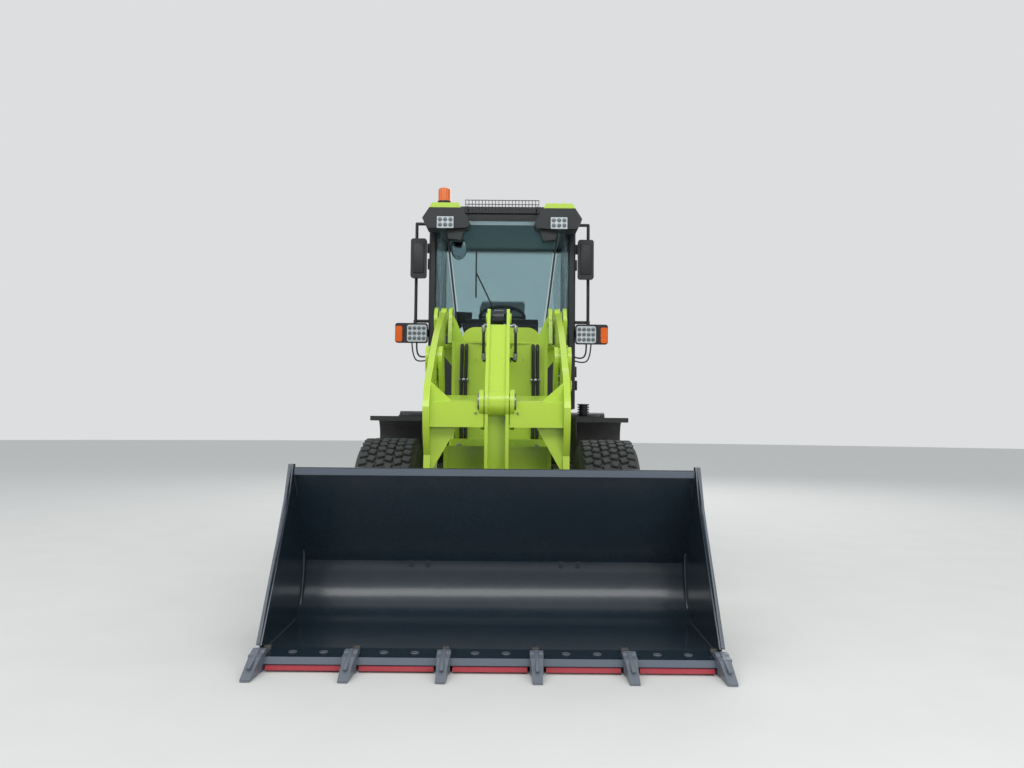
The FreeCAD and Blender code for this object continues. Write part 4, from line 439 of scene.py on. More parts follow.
black = enamel("black two-pack on steel plate", "15181a", "1c1f21", roughness=0.36, dust=0.25, coat=0.15,
               chip="2c3032")
finish_node(black, "rear_frame", "counterweight", "bulkhead", "step_tanks", "cab_frame", "door_left",
            "door_right", "roof_guard")
DECK_TOP = 1.235
WEIGHT_TOP = 1.110
fit(bolts([(x, y(u), DECK_TOP) for x in (-0.85, 0.85) for u in (1.47, 1.66, 1.85)], 0.009, 0.008, "Z", 1),
    "deck_bolts", zinc, "rear_frame")
fit(bolts([(x, y(u), WEIGHT_TOP) for x in (-0.58, 0.58) for u in (3.70, 3.80)], 0.016, 0.012, "Z", 1),
    "counterweight_bolts", zinc, "rear_frame")


# Fenders. Injection-moulded black polypropylene, screwed to the frame.
# The eye sees a grey-black with a fine leathery grain and a broad soft shine.
moulded = enamel("grained polypropylene", "1b1e20", "202426", roughness=0.5, grain=0.0006, grain_mm=1.6,
                 dust=0.5, coat=0.0)
finish_node(moulded, "front_fenders", "rear_fenders")


# Hood, cab front panel and grille. Deep-drawn sheet steel in lime enamel, with a black louvred grille.
# The eye sees a smooth even gloss, slanted bars over a dark finned core, and a flush round latch.
def soften(piece, width, steps=2, angle=35):
    """Rounds the arrises with a bevel that is applied."""
    bevel = piece.modifiers.new("arris", "BEVEL")
    bevel.width = width
    bevel.segments = steps
    bevel.limit_method = "ANGLE"
    bevel.angle_limit = math.radians(angle)
    bpy.context.view_layer.objects.active = piece
    bpy.ops.object.modifier_apply(modifier="arris")
    return piece


GRILLE_BARS = 11
GRILLE_LOW = 1.21
GRILLE_PITCH = 0.03
GRILLE_U = 3.784
GRILLE_W = 0.66
lime_sheet = enamel("lime enamel on sheet steel", "b6d544", "aecd3d", dust=0.08, roughness=0.28)
finish_node(lime_sheet, "cab_panels", "hood")
finish_node(moulded, "grille")
bars = []
for index in range(GRILLE_BARS):
    place = (0, y(GRILLE_U), GRILLE_LOW + index * GRILLE_PITCH)
    bars.append(soften(begin("cube", place, (GRILLE_W, 0.010, 0.008), (0.5, 0, 0)), 0.002, 1))
fit(gathered(bars), "grille_bars", black, "hood")

CORE_Z = 1.36
CORE_FINS = 24
FIN_PITCH = 0.024
FIN_FIRST_X = -0.276
core = begin("cube", (0, y(3.60), CORE_Z), (GRILLE_W, 0.07, 0.44))
pick(core, lambda face: abs(face.normal.y) > 0.9)
bpy.ops.mesh.inset(thickness=0.03, depth=-0.008)
close()
fins = [core]
for index in range(CORE_FINS):
    fins.append(begin("cube", (FIN_FIRST_X + index * FIN_PITCH, y(3.634), CORE_Z), (0.004, 0.012, 0.376)))
fit(gathered(fins), "radiator_core", cast_iron, "rear_frame")

LATCH_R = 0.03
LATCH_U = 3.783
latch = begin("round", (0, y(LATCH_U), 1.62), (LATCH_R, LATCH_R, 0.012), (math.pi / 2, 0, 0),
              vertices=24, depth=1)
pick(latch, lambda face: face.normal.y > 0.9)
bpy.ops.mesh.inset(thickness=0.006, depth=0)
bpy.ops.mesh.inset(thickness=0.001, depth=-0.003)
close()
fit(latch, "hood_latch", zinc, "hood")


# Tail lamps. Two red lenses of moulded acrylic, ribbed inside, set into the counterweight.
# The eye sees clear saturated red over a pattern of ribs 6 mm apart.
def clear_plastic(name, colour, shade, transmission=0.35, roughness=0.12, ribs_mm=6.0, painted_glow=0.0):
    """A moulded lens: its tint, its ribs as a bump, and a faint emission that is painted light, brightening
    the tint as daylight through the lens would.
    """
    material, tree, shader = new_material(name)
    place = coord(tree)
    ribs = add(tree, "TexWave", {"bands_direction": "X"}, Vector=place, Scale=1000 / ribs_mm / math.tau)
    deep = blend_colours(tree, ribs.outputs["Fac"], linear(colour), linear(shade))
    tree.links.new(deep, shader.inputs["Base Color"])
    bump = add(tree, "Bump", Height=ribs.outputs["Fac"], Strength=0.4, Distance=0.001)
    tree.links.new(bump.outputs["Normal"], shader.inputs["Normal"])
    shader.inputs["Roughness"].default_value = roughness
    shader.inputs["Transmission Weight"].default_value = transmission
    shader.inputs["IOR"].default_value = 1.49
    shader.inputs["Emission Color"].default_value = linear(colour)
    shader.inputs["Emission Strength"].default_value = painted_glow
    return material


finish_node(clear_plastic("red acrylic", "a81612", "861210"), "tail_lamps")


# Exhaust. A stub of aluminised tube, heat-tinted brown.
# The eye sees a dull mottled metal.
pipe_steel = enamel("aluminised steel tube", "4a4542", "2f2c2a", roughness=0.5, dust=0.0, coat=0.0, metal=0.7)
finish_node(pipe_steel, "exhaust")


# Cab roof and its lining. Moulded black roof cap outside, foam-backed cloth lining inside.
# The eye sees a grained black shell; through the windscreen the lining is a flat slate grey, painted lighter
# than the cloth.
finish_node(moulded, "cab_roof")
# The lining's colour is painted light: lighter than the cloth, standing in for the sky reflected on the
# windscreen and for the daylight that does not reach inside the cab.
lining = enamel("foam-backed headliner cloth", "9dadb8", "90a0ab", roughness=0.9, grain=0.0012, grain_mm=3.0,
                dust=0.0, coat=0.0)
headliner = soften(begin("cube", (0, y(1.50), 2.858), (1.02, 1.12, 0.03)), 0.012, 3)
fit(headliner, "headliner", lining, "rear_frame")


# Windows. Tinted toughened glass, 5 mm, bonded to the cab, with an extruded seal round the windscreen.
# The eye sees a blue-green tint, strongest where it is looked through at a slant, and clean reflections.
def window_glass(name, tint, deep):
    """Tinted float glass as a thin sheet, part of it clear so that daylight reaches the cab."""
    material, tree, shader = new_material(name)
    haze = add(tree, "TexNoise", Vector=coord(tree), Scale=5.0, Detail=3.0)
    tree.links.new(blend_colours(tree, haze.outputs["Fac"], linear(tint), linear(deep)),
                   shader.inputs["Base Color"])
    shader.inputs["Roughness"].default_value = 0.015
    shader.inputs["Transmission Weight"].default_value = 1.0
    shader.inputs["IOR"].default_value = 1.06
    shader.inputs["Alpha"].default_value = 0.6
    shader.inputs["Coat Weight"].default_value = 0.5
    shader.inputs["Coat Roughness"].default_value = 0.02
    return material


def strip(points, radius, sides=8, smooth=True):
    """A hose, pipe or seal as a mesh along a smooth curve through given points."""
    if bpy.context.mode != "OBJECT":
        bpy.ops.object.mode_set(mode="OBJECT")
    bpy.ops.object.select_all(action="DESELECT")
    line = bpy.data.curves.new("line", "CURVE")
    line.dimensions = "3D"
    line.bevel_depth = radius
    line.bevel_resolution = sides // 4
    line.use_fill_caps = True
    line.resolution_u = 8 if smooth else 1
    spline = line.splines.new("NURBS")
    spline.points.add(len(points) - 1)
    for knot, place in zip(spline.points, points):
        knot.co = tuple(place) + (1.0,)
    spline.order_u = 3 if smooth else 2
    spline.use_endpoint_u = True
    piece = bpy.data.objects.new("line", line)
    bpy.context.collection.objects.link(piece)
    piece.select_set(True)
    bpy.context.view_layer.objects.active = piece
    bpy.ops.object.convert(target="MESH")
    return bpy.context.object


glass = window_glass("tinted toughened glass", "8fb3ba", "9bbdc2")
finish_node(glass, "cab_glass", "door_glass_left", "door_glass_right")
epdm = enamel("extruded EPDM seal", "0d0f10", "121415", roughness=0.6, dust=0.1, coat=0.0)
SCREEN = ((-0.337, 1.947), (0.337, 1.947), (0.452, 2.819), (-0.452, 2.819))  # corners, across and height
SCREEN_U = 0.925
SEAL_R = 0.009
seals = []
for start, end in ((0, 3), (1, 2), (0, 1)):
    corners = [(x, y(SCREEN_U), z) for x, z in (SCREEN[start], SCREEN[end])]
    seals.append(strip(corners, SEAL_R, smooth=False))
fit(gathered(seals), "windscreen_seals", epdm, "rear_frame")


# Sun band. A baked ceramic band along the top of the windscreen.
# The eye sees a flat blue-grey stripe below the roof.
frit = enamel("baked ceramic band", "8fa5ae", "7f959e", roughness=0.25, dust=0.0, coat=0.4)
band = soften(begin("cube", (0, y(0.9235), 2.800), (0.86, 0.004, 0.030)), 0.001, 1)
fit(band, "sun_band", frit, "rear_frame")


# Door hinges. Turned steel pins in the cab's front posts, two to a door, painted with the frame.
# The eye sees two short black barrels with rounded ends on each post.
HINGE_X = 0.618
HINGE_U = 1.128
hinges = []
for side in (1, -1):
    for z in (1.60, 2.50):
        pin = begin("round", (side * HINGE_X, y(HINGE_U), z), (0.012, 0.012, 0.09), vertices=16, depth=1)
        hinges.append(soften(pin, 0.003, 2))
fit(gathered(hinges), "door_hinge_pins", black, "rear_frame")


# Wiper. A painted steel arm on a splined spindle, with a rubber blade, parked at half sweep.
# The eye sees a thin black arm and a long narrow blade standing on the glass.
SPINDLE_X = -0.026
BLADE_X = -0.21
WIPER_U = 0.908
arm = strip([(SPINDLE_X, y(WIPER_U), 2.0), (-0.10, y(0.900), 2.17), (BLADE_X, y(WIPER_U), 2.39)], 0.006)
blade = begin("cube", (BLADE_X, y(0.914), 2.385), (0.012, 0.012, 0.40))
pick(blade, lambda face: face.normal.y < -0.9)
bpy.ops.mesh.inset(thickness=0.003, depth=0.004)
close()
spindle = begin("round", (SPINDLE_X, y(WIPER_U), 1.995), (0.02, 0.02, 0.03), (math.pi / 2, 0, 0), vertices=20,
                depth=1)
fit(gathered([arm, blade, soften(spindle, 0.004, 2)]), "windscreen_wiper", epdm, "rear_frame")


# Console, levers and steering wheel. Moulded ABS: ball knobs over folded gaiters, a small screen on a stalk,
# and three spokes in the wheel. The eye sees near-black shells with a fine grain and glossier knobs.
LEVER_U = 1.55
LEVERS = ((-0.41, 2.05), (-0.34, 2.045))  # across, and the height of the knob
GAITER_LOW = 1.86
GAITER_FOLDS = 4
abs_black = enamel("grained ABS", "17191b", "1e2022", roughness=0.45, grain=0.0005, grain_mm=1.2, dust=0.0,
                   coat=0.0)
finish_node(abs_black, "console", "steering_wheel")
controls = []
for x, z in LEVERS:
    controls.append(begin("ball", (x, y(LEVER_U), z), (0.022, 0.022, 0.026), segments=16, ring_count=10))
for x, z in LEVERS:
    for step in range(GAITER_FOLDS):
        controls.append(begin("hoop", (x, y(LEVER_U), GAITER_LOW + step * 0.012), major_segments=20,
                              minor_segments=8, major_radius=0.034 - step * 0.006, minor_radius=0.008))
screen_box = begin("cube", (-0.33, y(1.22), 2.06), (0.15, 0.02, 0.10), (0.2, 0, 0.3))
pick(screen_box, lambda face: face.normal.y > 0.6)
bpy.ops.mesh.inset(thickness=0.008, depth=-0.003)
close()
stalk = strip([(-0.33, y(1.21), 2.02), (-0.33, y(1.20), 1.95), (-0.29, y(1.17), 1.90)], 0.009)
controls += [soften(screen_box, 0.003, 2), stalk]
fit(gathered(controls), "lever_knobs", abs_black, "rear_frame")

WHEEL_MIDDLE = Vector((0, y(1.304), 2.078))
RAKE_COS = 0.94
RAKE_SIN = 0.34
SPOKE_R = 0.010
spokes = []
for angle in (0.5, 2.6, 4.7):
    out = Vector((math.sin(angle), math.cos(angle) * RAKE_COS, -math.cos(angle) * RAKE_SIN))
    spokes.append(strip([WHEEL_MIDDLE + out * reach for reach in (0.035, 0.10, 0.185)], SPOKE_R))
fit(gathered(spokes), "wheel_spokes", abs_black, "steering_wheel")


# Seat. Polyurethane foam cushions in woven polyester, on a moulded pan over a bellows-covered base.
# The eye sees a mid-grey cloth with a fine rib and rounded, slightly swollen edges.
FOAM_VOXEL = 0.013
FOAM_PRESSURE = 4.0
SWELL_FRAMES = 12
SWELL_MOST = 0.010
cloth = enamel("woven polyester seat cloth", "8b9092", "9a9fa1", roughness=0.92, grain=0.0012, grain_mm=3.0,
               dust=0.0, coat=0.0)
cloth.node_tree.nodes["Principled BSDF"].inputs["Sheen Weight"].default_value = 0.3


def cushion(place, size, turn, name):
    """A foam cushion: a rounded block, remeshed, then swollen as cloth over its foam."""
    pad = begin("cube", place, size, turn)
    soften(pad, min(size) * 0.34, 4)
    remesh = pad.modifiers.new("even", "REMESH")
    remesh.mode = "VOXEL"
    remesh.voxel_size = FOAM_VOXEL
    bpy.ops.object.modifier_apply(modifier="even")
    swell = pad.modifiers.new("foam", "CLOTH")
    swell.settings.use_pressure = True
    swell.settings.uniform_pressure_force = FOAM_PRESSURE
    swell.settings.effector_weights.gravity = 0.0
    rest = [point.co.copy() for point in pad.data.vertices]
    for number in range(1, SWELL_FRAMES + 1):
        bpy.context.scene.frame_set(number)
    bpy.ops.object.modifier_apply(modifier="foam")
    for point, home in zip(pad.data.vertices, rest):
        move = point.co - home
        if move.length > SWELL_MOST:
            point.co = home + move.normalized() * SWELL_MOST
    bpy.context.scene.frame_set(1)
    piece = fit(pad, name, cloth, "rear_frame", 60)
    return piece


SEAT_U = 1.70
FOLD_LOW = 1.42
FOLD_PITCH = 0.05
FOLDS = 5
pillar = begin("cube", (0, y(SEAT_U), 1.50), (0.34, 0.36, 0.36))
pick(pillar, lambda face: face.normal.z < -0.9)
bpy.ops.transform.resize(value=(1.2, 1.1, 1), center_override=(0, y(SEAT_U), 1.32))
close()
folds = []
for step in range(FOLDS):
    fold = begin("cube", (0, y(SEAT_U), FOLD_LOW + step * FOLD_PITCH),
                 (0.39 - step * 0.012, 0.40 - step * 0.01, 0.03))
    folds.append(soften(fold, 0.012, 3))
base = fit(gathered([soften(pillar, 0.02, 3)] + folds), "seat_base", abs_black, "rear_frame")
low_pad = cushion((0, y(SEAT_U), 1.755), (0.42, 0.42, 0.09), (-0.06, 0, 0), "seat_cushion")
back_pad = cushion((0, y(1.915), 2.07), (0.42, 0.085, 0.50), (0.10, 0, 0), "seat_back")
for part in (base, low_pad, back_pad):
    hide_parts("seat")


# Mirrors. Moulded ABS shells on bent tube loops, with second-surface silvered glass.
# The eye sees a bright cool glass inside a black rim.
MIRROR_X = 0.692
MIRROR_Z = 2.525
silver = enamel("second-surface mirror glass", "aab4b8", "9fa9ad", roughness=0.05, grain=0.00002, dust=0.0,
                coat=0.5, metal=1.0)
finish_node(abs_black, "mirrors")
panes = []
shells = []
for side in (1, -1):
    pane = begin("cube", (side * MIRROR_X, y(1.038), MIRROR_Z), (0.112, 0.004, 0.29))
    panes.append(soften(pane, 0.0015, 2))
    shell = begin("cube", (side * MIRROR_X, y(1.0), MIRROR_Z), (0.09, 0.012, 0.25))
    shells.append(soften(shell, 0.005, 3))
fit(gathered(panes), "mirror_glass", silver, "rear_frame")
fit(gathered(shells), "mirror_backs", abs_black, "rear_frame")


# Inside mirror. A convex glass in a moulded rim, on a stay from the headliner.
# The eye sees an upright silver oval inside the windscreen.
OVAL_X = -0.357
OVAL_Z = 2.60
OVAL_W = 0.064
OVAL_H = 0.090
disc = begin("ball", (OVAL_X, y(0.97), OVAL_Z), (OVAL_W, 0.010, OVAL_H), segments=28, ring_count=14)
oval_rim = begin("hoop", (OVAL_X, y(0.97), OVAL_Z), (OVAL_W / OVAL_H, 1, 1), (math.pi / 2, 0, 0),
                 major_segments=32, minor_segments=8, major_radius=OVAL_H, minor_radius=0.004)
stay = strip([(OVAL_X, y(0.985), OVAL_Z), (-0.345, y(1.01), 2.70), (-0.33, y(1.03), 2.845)], 0.006)
fit(gathered([oval_rim, stay]), "inside_mirror_rim", abs_black, "rear_frame")
fit(disc, "inside_mirror", silver, "rear_frame")


# Working lamps. LED units: aluminised cups in a pale bezel, four by three on the mirror arms and three by two
# under the roof. The eye sees a grid of bright rings, each round a small dark disc, the emitter with painted
# shadow in its cup.
bezel = enamel("satin white polycarbonate bezel", "c4ccd0", "b4bdc2", roughness=0.25, dust=0.02, coat=0.4)
cup_metal = enamel("vacuum-aluminised reflector", "d6dcdf", "c4cbcf", roughness=0.12, dust=0.0, coat=0.2,
                   metal=0.9)
# The grey disc in each cup is the emitter together with painted shadow inside the cup.
led_and_painted_shadow = enamel("LED emitter and its shadow", "4c5355", "5c6466", roughness=0.2, dust=0.0, coat=0.6)
finish_node(bezel, "lamps")
UNITS = (  # middle across, height, behind the axle, columns, rows, pitch across, cup radius
    (0.698, 1.900, 1.004, 4, 3, 0.038, 0.0155),
    (0.454, 2.762, 0.746, 3, 2, 0.042, 0.0165),
)
ROW_PITCH = 0.042
CUP_RIM = 0.0022
cups = []
leds = []
for middle, height, face_u, columns, lines, pitch, cup_r in UNITS:
    cells = [(column, line) for column in range(columns) for line in range(lines)]
    for side in (1, -1):
        for column, line in cells:
            x = side * middle + (column - (columns - 1) / 2) * pitch
            z = height + (line - (lines - 1) / 2) * ROW_PITCH
            cups.append(begin("hoop", (x, y(face_u) - 0.001, z), turn=(math.pi / 2, 0, 0), major_segments=20,
                              minor_segments=6, major_radius=cup_r, minor_radius=CUP_RIM))
            leds.append(begin("ball", (x, y(face_u) + 0.0005, z), (cup_r * 0.86, 0.003, cup_r * 0.86),
                              segments=16, ring_count=8))
fit(gathered(cups), "lamp_cup_rings", cup_metal, "rear_frame")
fit(gathered(leds), "lamp_leds", led_and_painted_shadow, "rear_frame")


# Indicators. Moulded acrylic lenses beside the lamps on the mirror arms.
# The eye sees a saturated amber over a pattern of ribs 5 mm apart.
# The amber lenses carry a faint emission as painted light, standing in for daylight passing through them.
amber = clear_plastic("amber acrylic", "e8691c", "c4520f", transmission=0.15, roughness=0.15, ribs_mm=5.0,
                      painted_glow=0.12)
finish_node(amber, "indicators")


# Beacon. An orange polycarbonate dome on a black seated base.
# The eye sees a warm translucent dome with vertical lens ribs.
# The dome carries a faint emission as painted light, standing in for daylight passing through it.
orange = clear_plastic("orange polycarbonate", "e07a40", "c9602a", transmission=0.2, roughness=0.18,
                       ribs_mm=9.0, painted_glow=0.18)
finish_node(orange, "beacon")
collar = begin("round", (-0.47, y(0.84), 2.940), (0.056, 0.056, 0.026), vertices=40, depth=1)
pick(collar, lambda face: abs(face.normal.z) > 0.9)
bpy.ops.mesh.bevel(offset=0.004, segments=2, affect="EDGES")
close()
fit(collar, "beacon_base", abs_black, "rear_frame")


# Front frame and loader tower. Flame-cut plate of 15 to 30 mm, welded and painted lime.
# The eye sees flat enamel faces with weld beads in the corners and zinc bolts on the nose flange.
def weld(points, radius):
    """A weld bead: a slender bar along its seam."""
    return strip(points, radius, smooth=False)


lime = enamel("lime enamel on welded plate", "b6d544", "abca3b", dust=0.14, chip="cfe080")
finish_node(lime, "front_frame", "boom", "rocker", "link")
NOSE_TOP = 1.010
nose_bolts = [(side * 0.255, y(u), NOSE_TOP) for side in (1, -1) for u in (-0.37, -0.21)]
fit(bolts(nose_bolts, 0.012, 0.010, "Z", 1), "nose_bolts", zinc, "front_frame")

weld_lime = enamel("lime enamel over weld beads", "a3c23a", "93b133", dust=0.2, grain=0.003, grain_mm=6.0)
TOWER_BACK_U = 0.2075
NOSE_BEAD_X = 0.28
TOWER_BEAD = 0.004
ends = [(x, y(-0.406), 0.992) for x in (-NOSE_BEAD_X, NOSE_BEAD_X)]
beads = [weld(ends, TOWER_BEAD)]
for side in (1, -1):
    for across in (0.318, 0.085):
        ends = [(side * across, y(TOWER_BACK_U), z) for z in (1.06, 1.73)]
        beads.append(weld(ends, TOWER_BEAD))
fit(gathered(beads), "tower_welds", weld_lime, "front_frame")


# Boom and its pins. Two arms of 40 mm plate joined by a box cross-member; hardened pins in welded bosses.
# The eye sees rolled beads round the bosses and along the cross-member, and bare steel pin ends.
steel = enamel("ground pin steel", "8e9092", "7a7c7e", roughness=0.3, grain=0.0002, dust=0.1, coat=0.0,
               metal=0.9)
finish_node(steel, "bucket_pins", "rocker_pin", "link_pin")
BOSSES = (  # behind the axle, height, radius of the bead
    (-0.86, 0.27, 0.083),
    (-0.20, 1.41, 0.07),
    (0.45, 1.92, 0.07),
)
ARM_FACES = (0.4005, 0.4425)
BOSS_BEAD = 0.005
MEMBER_BEADS = (  # behind the axle, two ends as across and height, thickness
    (-0.752, (0.399, 1.13), (0.399, 1.28), 0.006),
    (-0.752, (0.0775, 1.135), (0.398, 1.135), 0.005),
    (-0.718, (0.2615, 1.279), (0.398, 1.279), 0.005),
)
beads = []
for side in (1, -1):
    for u, z, bead_r in BOSSES:
        for x in ARM_FACES:
            beads.append(begin("hoop", (side * x, y(u), z), turn=(0, math.pi / 2, 0), major_segments=40,
                               minor_segments=6, major_radius=bead_r, minor_radius=BOSS_BEAD))
    for u, first, last, thick in MEMBER_BEADS:
        beads.append(weld([(side * across, y(u), z) for across, z in (first, last)], thick))
fit(gathered(beads), "boom_welds", weld_lime, "boom")


def grease_nipple(place):
    """A grease nipple: a small hexagon with a ball end."""
    foot = begin("round", (place[0], place[1] - 0.004, place[2]), (0.007, 0.007, 0.008), (math.pi / 2, 0, 0),
                 vertices=6, depth=1)
    tip = begin("ball", (place[0], place[1] - 0.011, place[2]), (0.0045, 0.006, 0.0045), segments=12,
                ring_count=8)
    return gathered([soften(foot, 0.001, 1), tip])


NIPPLE_X = 0.126
nipples = [grease_nipple((side * NIPPLE_X, y(-0.752), 1.215)) for side in (1, -1)]
fit(gathered(nipples), "grease_nipples", zinc, "boom")


# Cylinders. Honed tube barrels in black paint, hard-chromed rods, forged eyes.
# The eye sees satin black tubes, a mirror-bright rod and a broad black eye on the tilt rod.
finish_node(black, "tilt_barrel", "lift_barrel_left", "lift_barrel_right", "steer_barrel")
chrome = enamel("hard chrome on ground bar", "dfe3e6", "d2d7da", roughness=0.1, grain=0.00005, dust=0.0,
                coat=0.0, metal=1.0)
finish_node(chrome, "tilt_rod", "lift_rod_left", "lift_rod_right", "steer_rod")
EYE_R = 0.0562
EYE_WIDE = 0.0646
rod_eye = begin("round", (0, y(-0.36), 1.84), (EYE_R, EYE_R, EYE_WIDE), (0, math.pi / 2, 0), vertices=48,
                depth=1)
pick(rod_eye, lambda face: abs(face.normal.x) > 0.9)
bpy.ops.mesh.inset(thickness=0.006, depth=0)
close()
fit(rod_eye, "tilt_rod_eye", black, "tilt_rod")


# Tower hoses. Two-wire braid hose in a smooth black cover, two down each side of the tower, clamped in zinc
# clips at both ends, so that they are fixed lines. The eye sees paired black loops on the lime plate.
HOSE_R = 0.0125
HOSE_PAIR = (0.240, 0.271)
HOSE_TOP = 1.722
HOSE_LOW = 1.055
hose_rubber = enamel("wire-braid hose cover", "17191b", "22252a", roughness=0.5, grain=0.0004, grain_mm=1.5,
                     dust=0.15, coat=0.1)
hoses = []
clips = []
for side in (1, -1):
    for across in HOSE_PAIR:
        x = side * across
        hoses.append(strip([(x, y(0.215), HOSE_TOP), (x, y(0.175), HOSE_TOP), (x, y(0.180), 1.60),
                            (x * 1.02, y(0.184), 1.35), (x, y(0.178), 1.10), (x, y(0.18), HOSE_LOW),
                            (x, y(0.215), HOSE_LOW)], HOSE_R, 12))
    for z in (1.16, 1.47):
        clip = begin("cube", (side * 0.2575, y(0.190), z), (0.074, 0.038, 0.020))
        clips.append(soften(clip, 0.006, 2))
fit(gathered(hoses), "tower_hoses", hose_rubber, "front_frame")
fit(gathered(clips), "hose_clips", zinc, "front_frame")


# Tilt lines. A welded steel tee pipe over the tilt barrel, with an elbow and a crimped hose on each side.
# The eye sees a bright pipe with hexagon fittings, and two black hoses that curl back under it.
TEE_U = 0.03
TEE_Z = 1.842
TEE_X = 0.112
FITTING_R = 0.014
CRIMP_DROP = 0.210
TILT_HOSE_R = HOSE_R * 0.8
tee = [strip([(-TEE_X, y(TEE_U), TEE_Z), (TEE_X, y(TEE_U), TEE_Z)], 0.009, 12)]
drops = []
for side in (1, -1):
    for along in (0.03, 0.10):
        tee.append(begin("round", (side * along, y(TEE_U), TEE_Z), (0.015, 0.015, 0.022), (0, math.pi / 2, 0),
                         vertices=6, depth=1))
    elbow = begin("round", (side * TEE_X, y(TEE_U), TEE_Z - 0.022), (FITTING_R, FITTING_R, 0.050),
                  vertices=16, depth=1)
    crimp = begin("round", (side * TEE_X, y(TEE_U + 0.02), TEE_Z - CRIMP_DROP), (FITTING_R, FITTING_R, 0.060),
                  vertices=16, depth=1)
    tee += [soften(elbow, 0.004, 2), soften(crimp, 0.004, 2)]
    drops.append(strip([(side * TEE_X, y(TEE_U), TEE_Z - 0.03), (side * 0.113, y(TEE_U - 0.01), TEE_Z - 0.12),
                        (side * TEE_X, y(TEE_U + 0.02), TEE_Z - CRIMP_DROP),
                        (side * TEE_X, y(TEE_U + 0.05), TEE_Z - 0.255),
                        (side * 0.085, y(TEE_U + 0.09), TEE_Z - 0.22)], TILT_HOSE_R, 12))
fit(gathered(tee), "tilt_tee_fittings", zinc, "tilt_barrel")
fit(gathered(drops), "tilt_hoses", hose_rubber, "tilt_barrel")


# Lamp cables. Two rubber-covered cables from each lamp on the mirror arms, looped down into the door post.
# The eye sees two thin black loops below each lamp.
CABLES = (  # thickness, then its points as across, behind the axle and height
    (0.007, ((0.70, 1.032, 1.826), (0.705, 1.05, 1.74), (0.66, 1.06, 1.70), (0.60, 1.06, 1.72))),
    (0.006, ((0.74, 1.032, 1.826), (0.735, 1.06, 1.70), (0.67, 1.07, 1.665), (0.60, 1.07, 1.69))),
)
loops = []
for side in (1, -1):
    for thick, route in CABLES:
        loops.append(strip([(side * across, y(u), z) for across, u, z in route], thick))
fit(gathered(loops), "lamp_cables", hose_rubber, "rear_frame")


# Tank breather. A moulded filter cap on the left-hand deck.
# The eye sees a stack of five thin black fins round a core.
BREATHER_X = 0.72
BREATHER_U = 1.50
FILTER_FINS = 5
breather = []
for step in range(FILTER_FINS):
    fin = begin("round", (BREATHER_X, y(BREATHER_U), DECK_TOP + 0.018 + step * 0.021), (0.052, 0.052, 0.011),
                vertices=32, depth=1)
    breather.append(soften(fin, 0.003, 2))
core = begin("round", (BREATHER_X, y(BREATHER_U), DECK_TOP + 0.055), (0.038, 0.038, 0.11), vertices=24,
             depth=1)
breather.append(soften(core, 0.006, 2))
fit(gathered(breather), "tank_breather", abs_black, "rear_frame")


# Bucket. Rolled and welded wear-resistant plate in dark slate enamel, with a ground cutting edge.
# The eye sees a deep blue-grey gloss that picks up a soft band on the curve, with paler slate strips along
# the rim, the blade's bevel and the side edges.
slate = enamel("slate enamel on wear plate", "16252f", "111d27", roughness=0.26, dust=0.05, coat=0.25,
               dust_colour="5a666e", patchy=0.05)
finish_node(slate, "bucket")
BUCKET_IN = 1.068
CUTTER_X = 1.086
# A paler slate along the top rim, the blade's bevel, the side plates' front edges and round the plough bolts.
pale_slate_edge = enamel("pale slate enamel along an arris", "59626d", "4b545f", roughness=0.34, dust=0.0, coat=0.1,
                   chip="8a9298")
rim_band = begin("cube", (0, y(-1.2615), 0.8865), (2 * BUCKET_IN, 0.003, 0.036))
lip_band = begin("cube", (0, y(-1.7925), 0.0465), (2 * BUCKET_IN, 0.002, 0.038), (-math.pi / 4, 0, 0))
edges = [soften(rim_band, 0.001, 1), soften(lip_band, 0.0008, 1)]
for side in (1, -1):
    cutter = [(side * CUTTER_X, y(u), z) for u, z in ((-1.742, 0.104), (-1.357, 0.694), (-1.264, 0.915))]
    edges.append(strip(cutter, 0.006, smooth=False))
fit(gathered(edges), "pale_slate_edges", pale_slate_edge, "bucket")

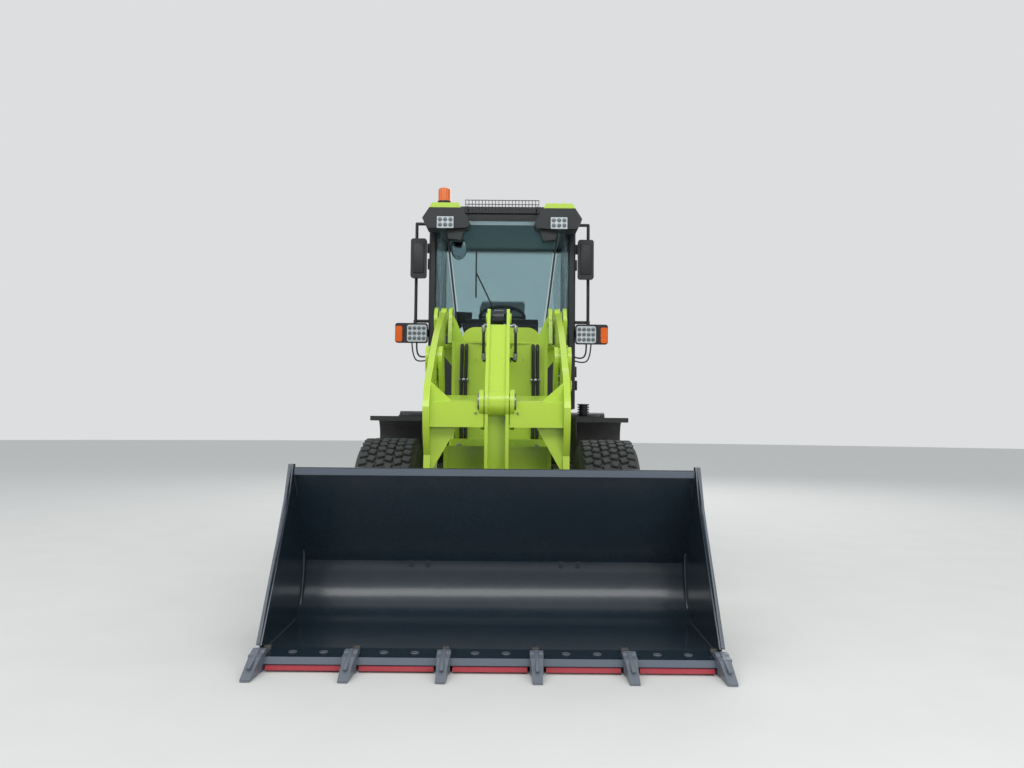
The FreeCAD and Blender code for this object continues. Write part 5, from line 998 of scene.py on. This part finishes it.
FLOOR_SEAM_U = -1.655
FLOOR_SEAM_Z = 0.0725
SIDE_SEAM_X = 1.0695
SIDE_SEAM = (  # behind the axle and height, round the corner of floor, back and side plate
    (-1.655, 0.073), (-1.22, 0.078), (-1.10, 0.095), (-1.046, 0.18),
    (-1.0, 0.376), (-1.06, 0.60), (-1.19, 0.751), (-1.252, 0.868),
)
weld_slate = enamel("slate enamel over weld beads", "24333f", "1b2833", roughness=0.3, grain=0.003,
                    grain_mm=6.0, dust=0.05)
seams = [weld([(x, y(FLOOR_SEAM_U), FLOOR_SEAM_Z) for x in (-BUCKET_IN, BUCKET_IN)], 0.004)]
for side in (1, -1):
    seams.append(strip([(side * SIDE_SEAM_X, y(u), z) for u, z in SIDE_SEAM], 0.006))
fit(gathered(seams), "bucket_welds", weld_slate, "bucket")


# Teeth and cutting-edge segments. Forged teeth bolted over the edge, red-painted segments between them.
# The eye sees paler slate wedges with a raised middle rib, sunk plough bolts and dull red bars.
TEETH = 6
TOOTH_PITCH = 0.4296
FIRST_TOOTH_X = -1.074
TOOTH_SLOPE = math.radians(15.8)
BOLT_U = -1.715
BOLT_Z = 0.0655
BOLT_SHARES = (0.33, 0.67)  # places of the bolts between two teeth
tooth_paint = enamel("slate enamel on forged steel", "626b77", "525b67", roughness=0.4, dust=0.1, coat=0.1,
                     chip="8f979e")
finish_node(tooth_paint, "bucket_teeth")
red = enamel("red enamel on rolled steel", "b3243a", "9c1f33", roughness=0.35, dust=0.1, coat=0.2,
             chip="6c3a40")
finish_node(red, "edge_segments")
ribs = []
lugs = []
bolt_rims = []
for index in range(TEETH):
    x = FIRST_TOOTH_X + index * TOOTH_PITCH
    rib = begin("cube", (x, y(-1.845), 0.070), (0.018, 0.17, 0.012), (TOOTH_SLOPE, 0, 0))
    ribs.append(soften(rib, 0.004, 2))
    lug = begin("cube", (x * 0.985, y(-1.690), 0.078), (0.034, 0.030, 0.024))
    lugs.append(soften(lug, 0.005, 2))
    if index < TEETH - 1:
        for share in BOLT_SHARES:
            place = (x + share * TOOTH_PITCH, y(BOLT_U), BOLT_Z)
            bolt_rims.append(begin("hoop", place, major_segments=24, minor_segments=6, major_radius=0.018,
                                   minor_radius=0.003))
            plug = begin("round", place, (0.015, 0.015, 0.003), vertices=24, depth=1)
            pick(plug, lambda face: face.normal.z > 0.9)
            bpy.ops.mesh.inset(thickness=0.004, depth=-0.001)
            close()
            lugs.append(plug)
fit(gathered(ribs), "tooth_ribs", tooth_paint, "bucket")
fit(gathered(lugs), "tooth_lugs", black, "bucket")
fit(gathered(bolt_rims), "plough_bolt_rims", pale_slate_edge, "bucket")
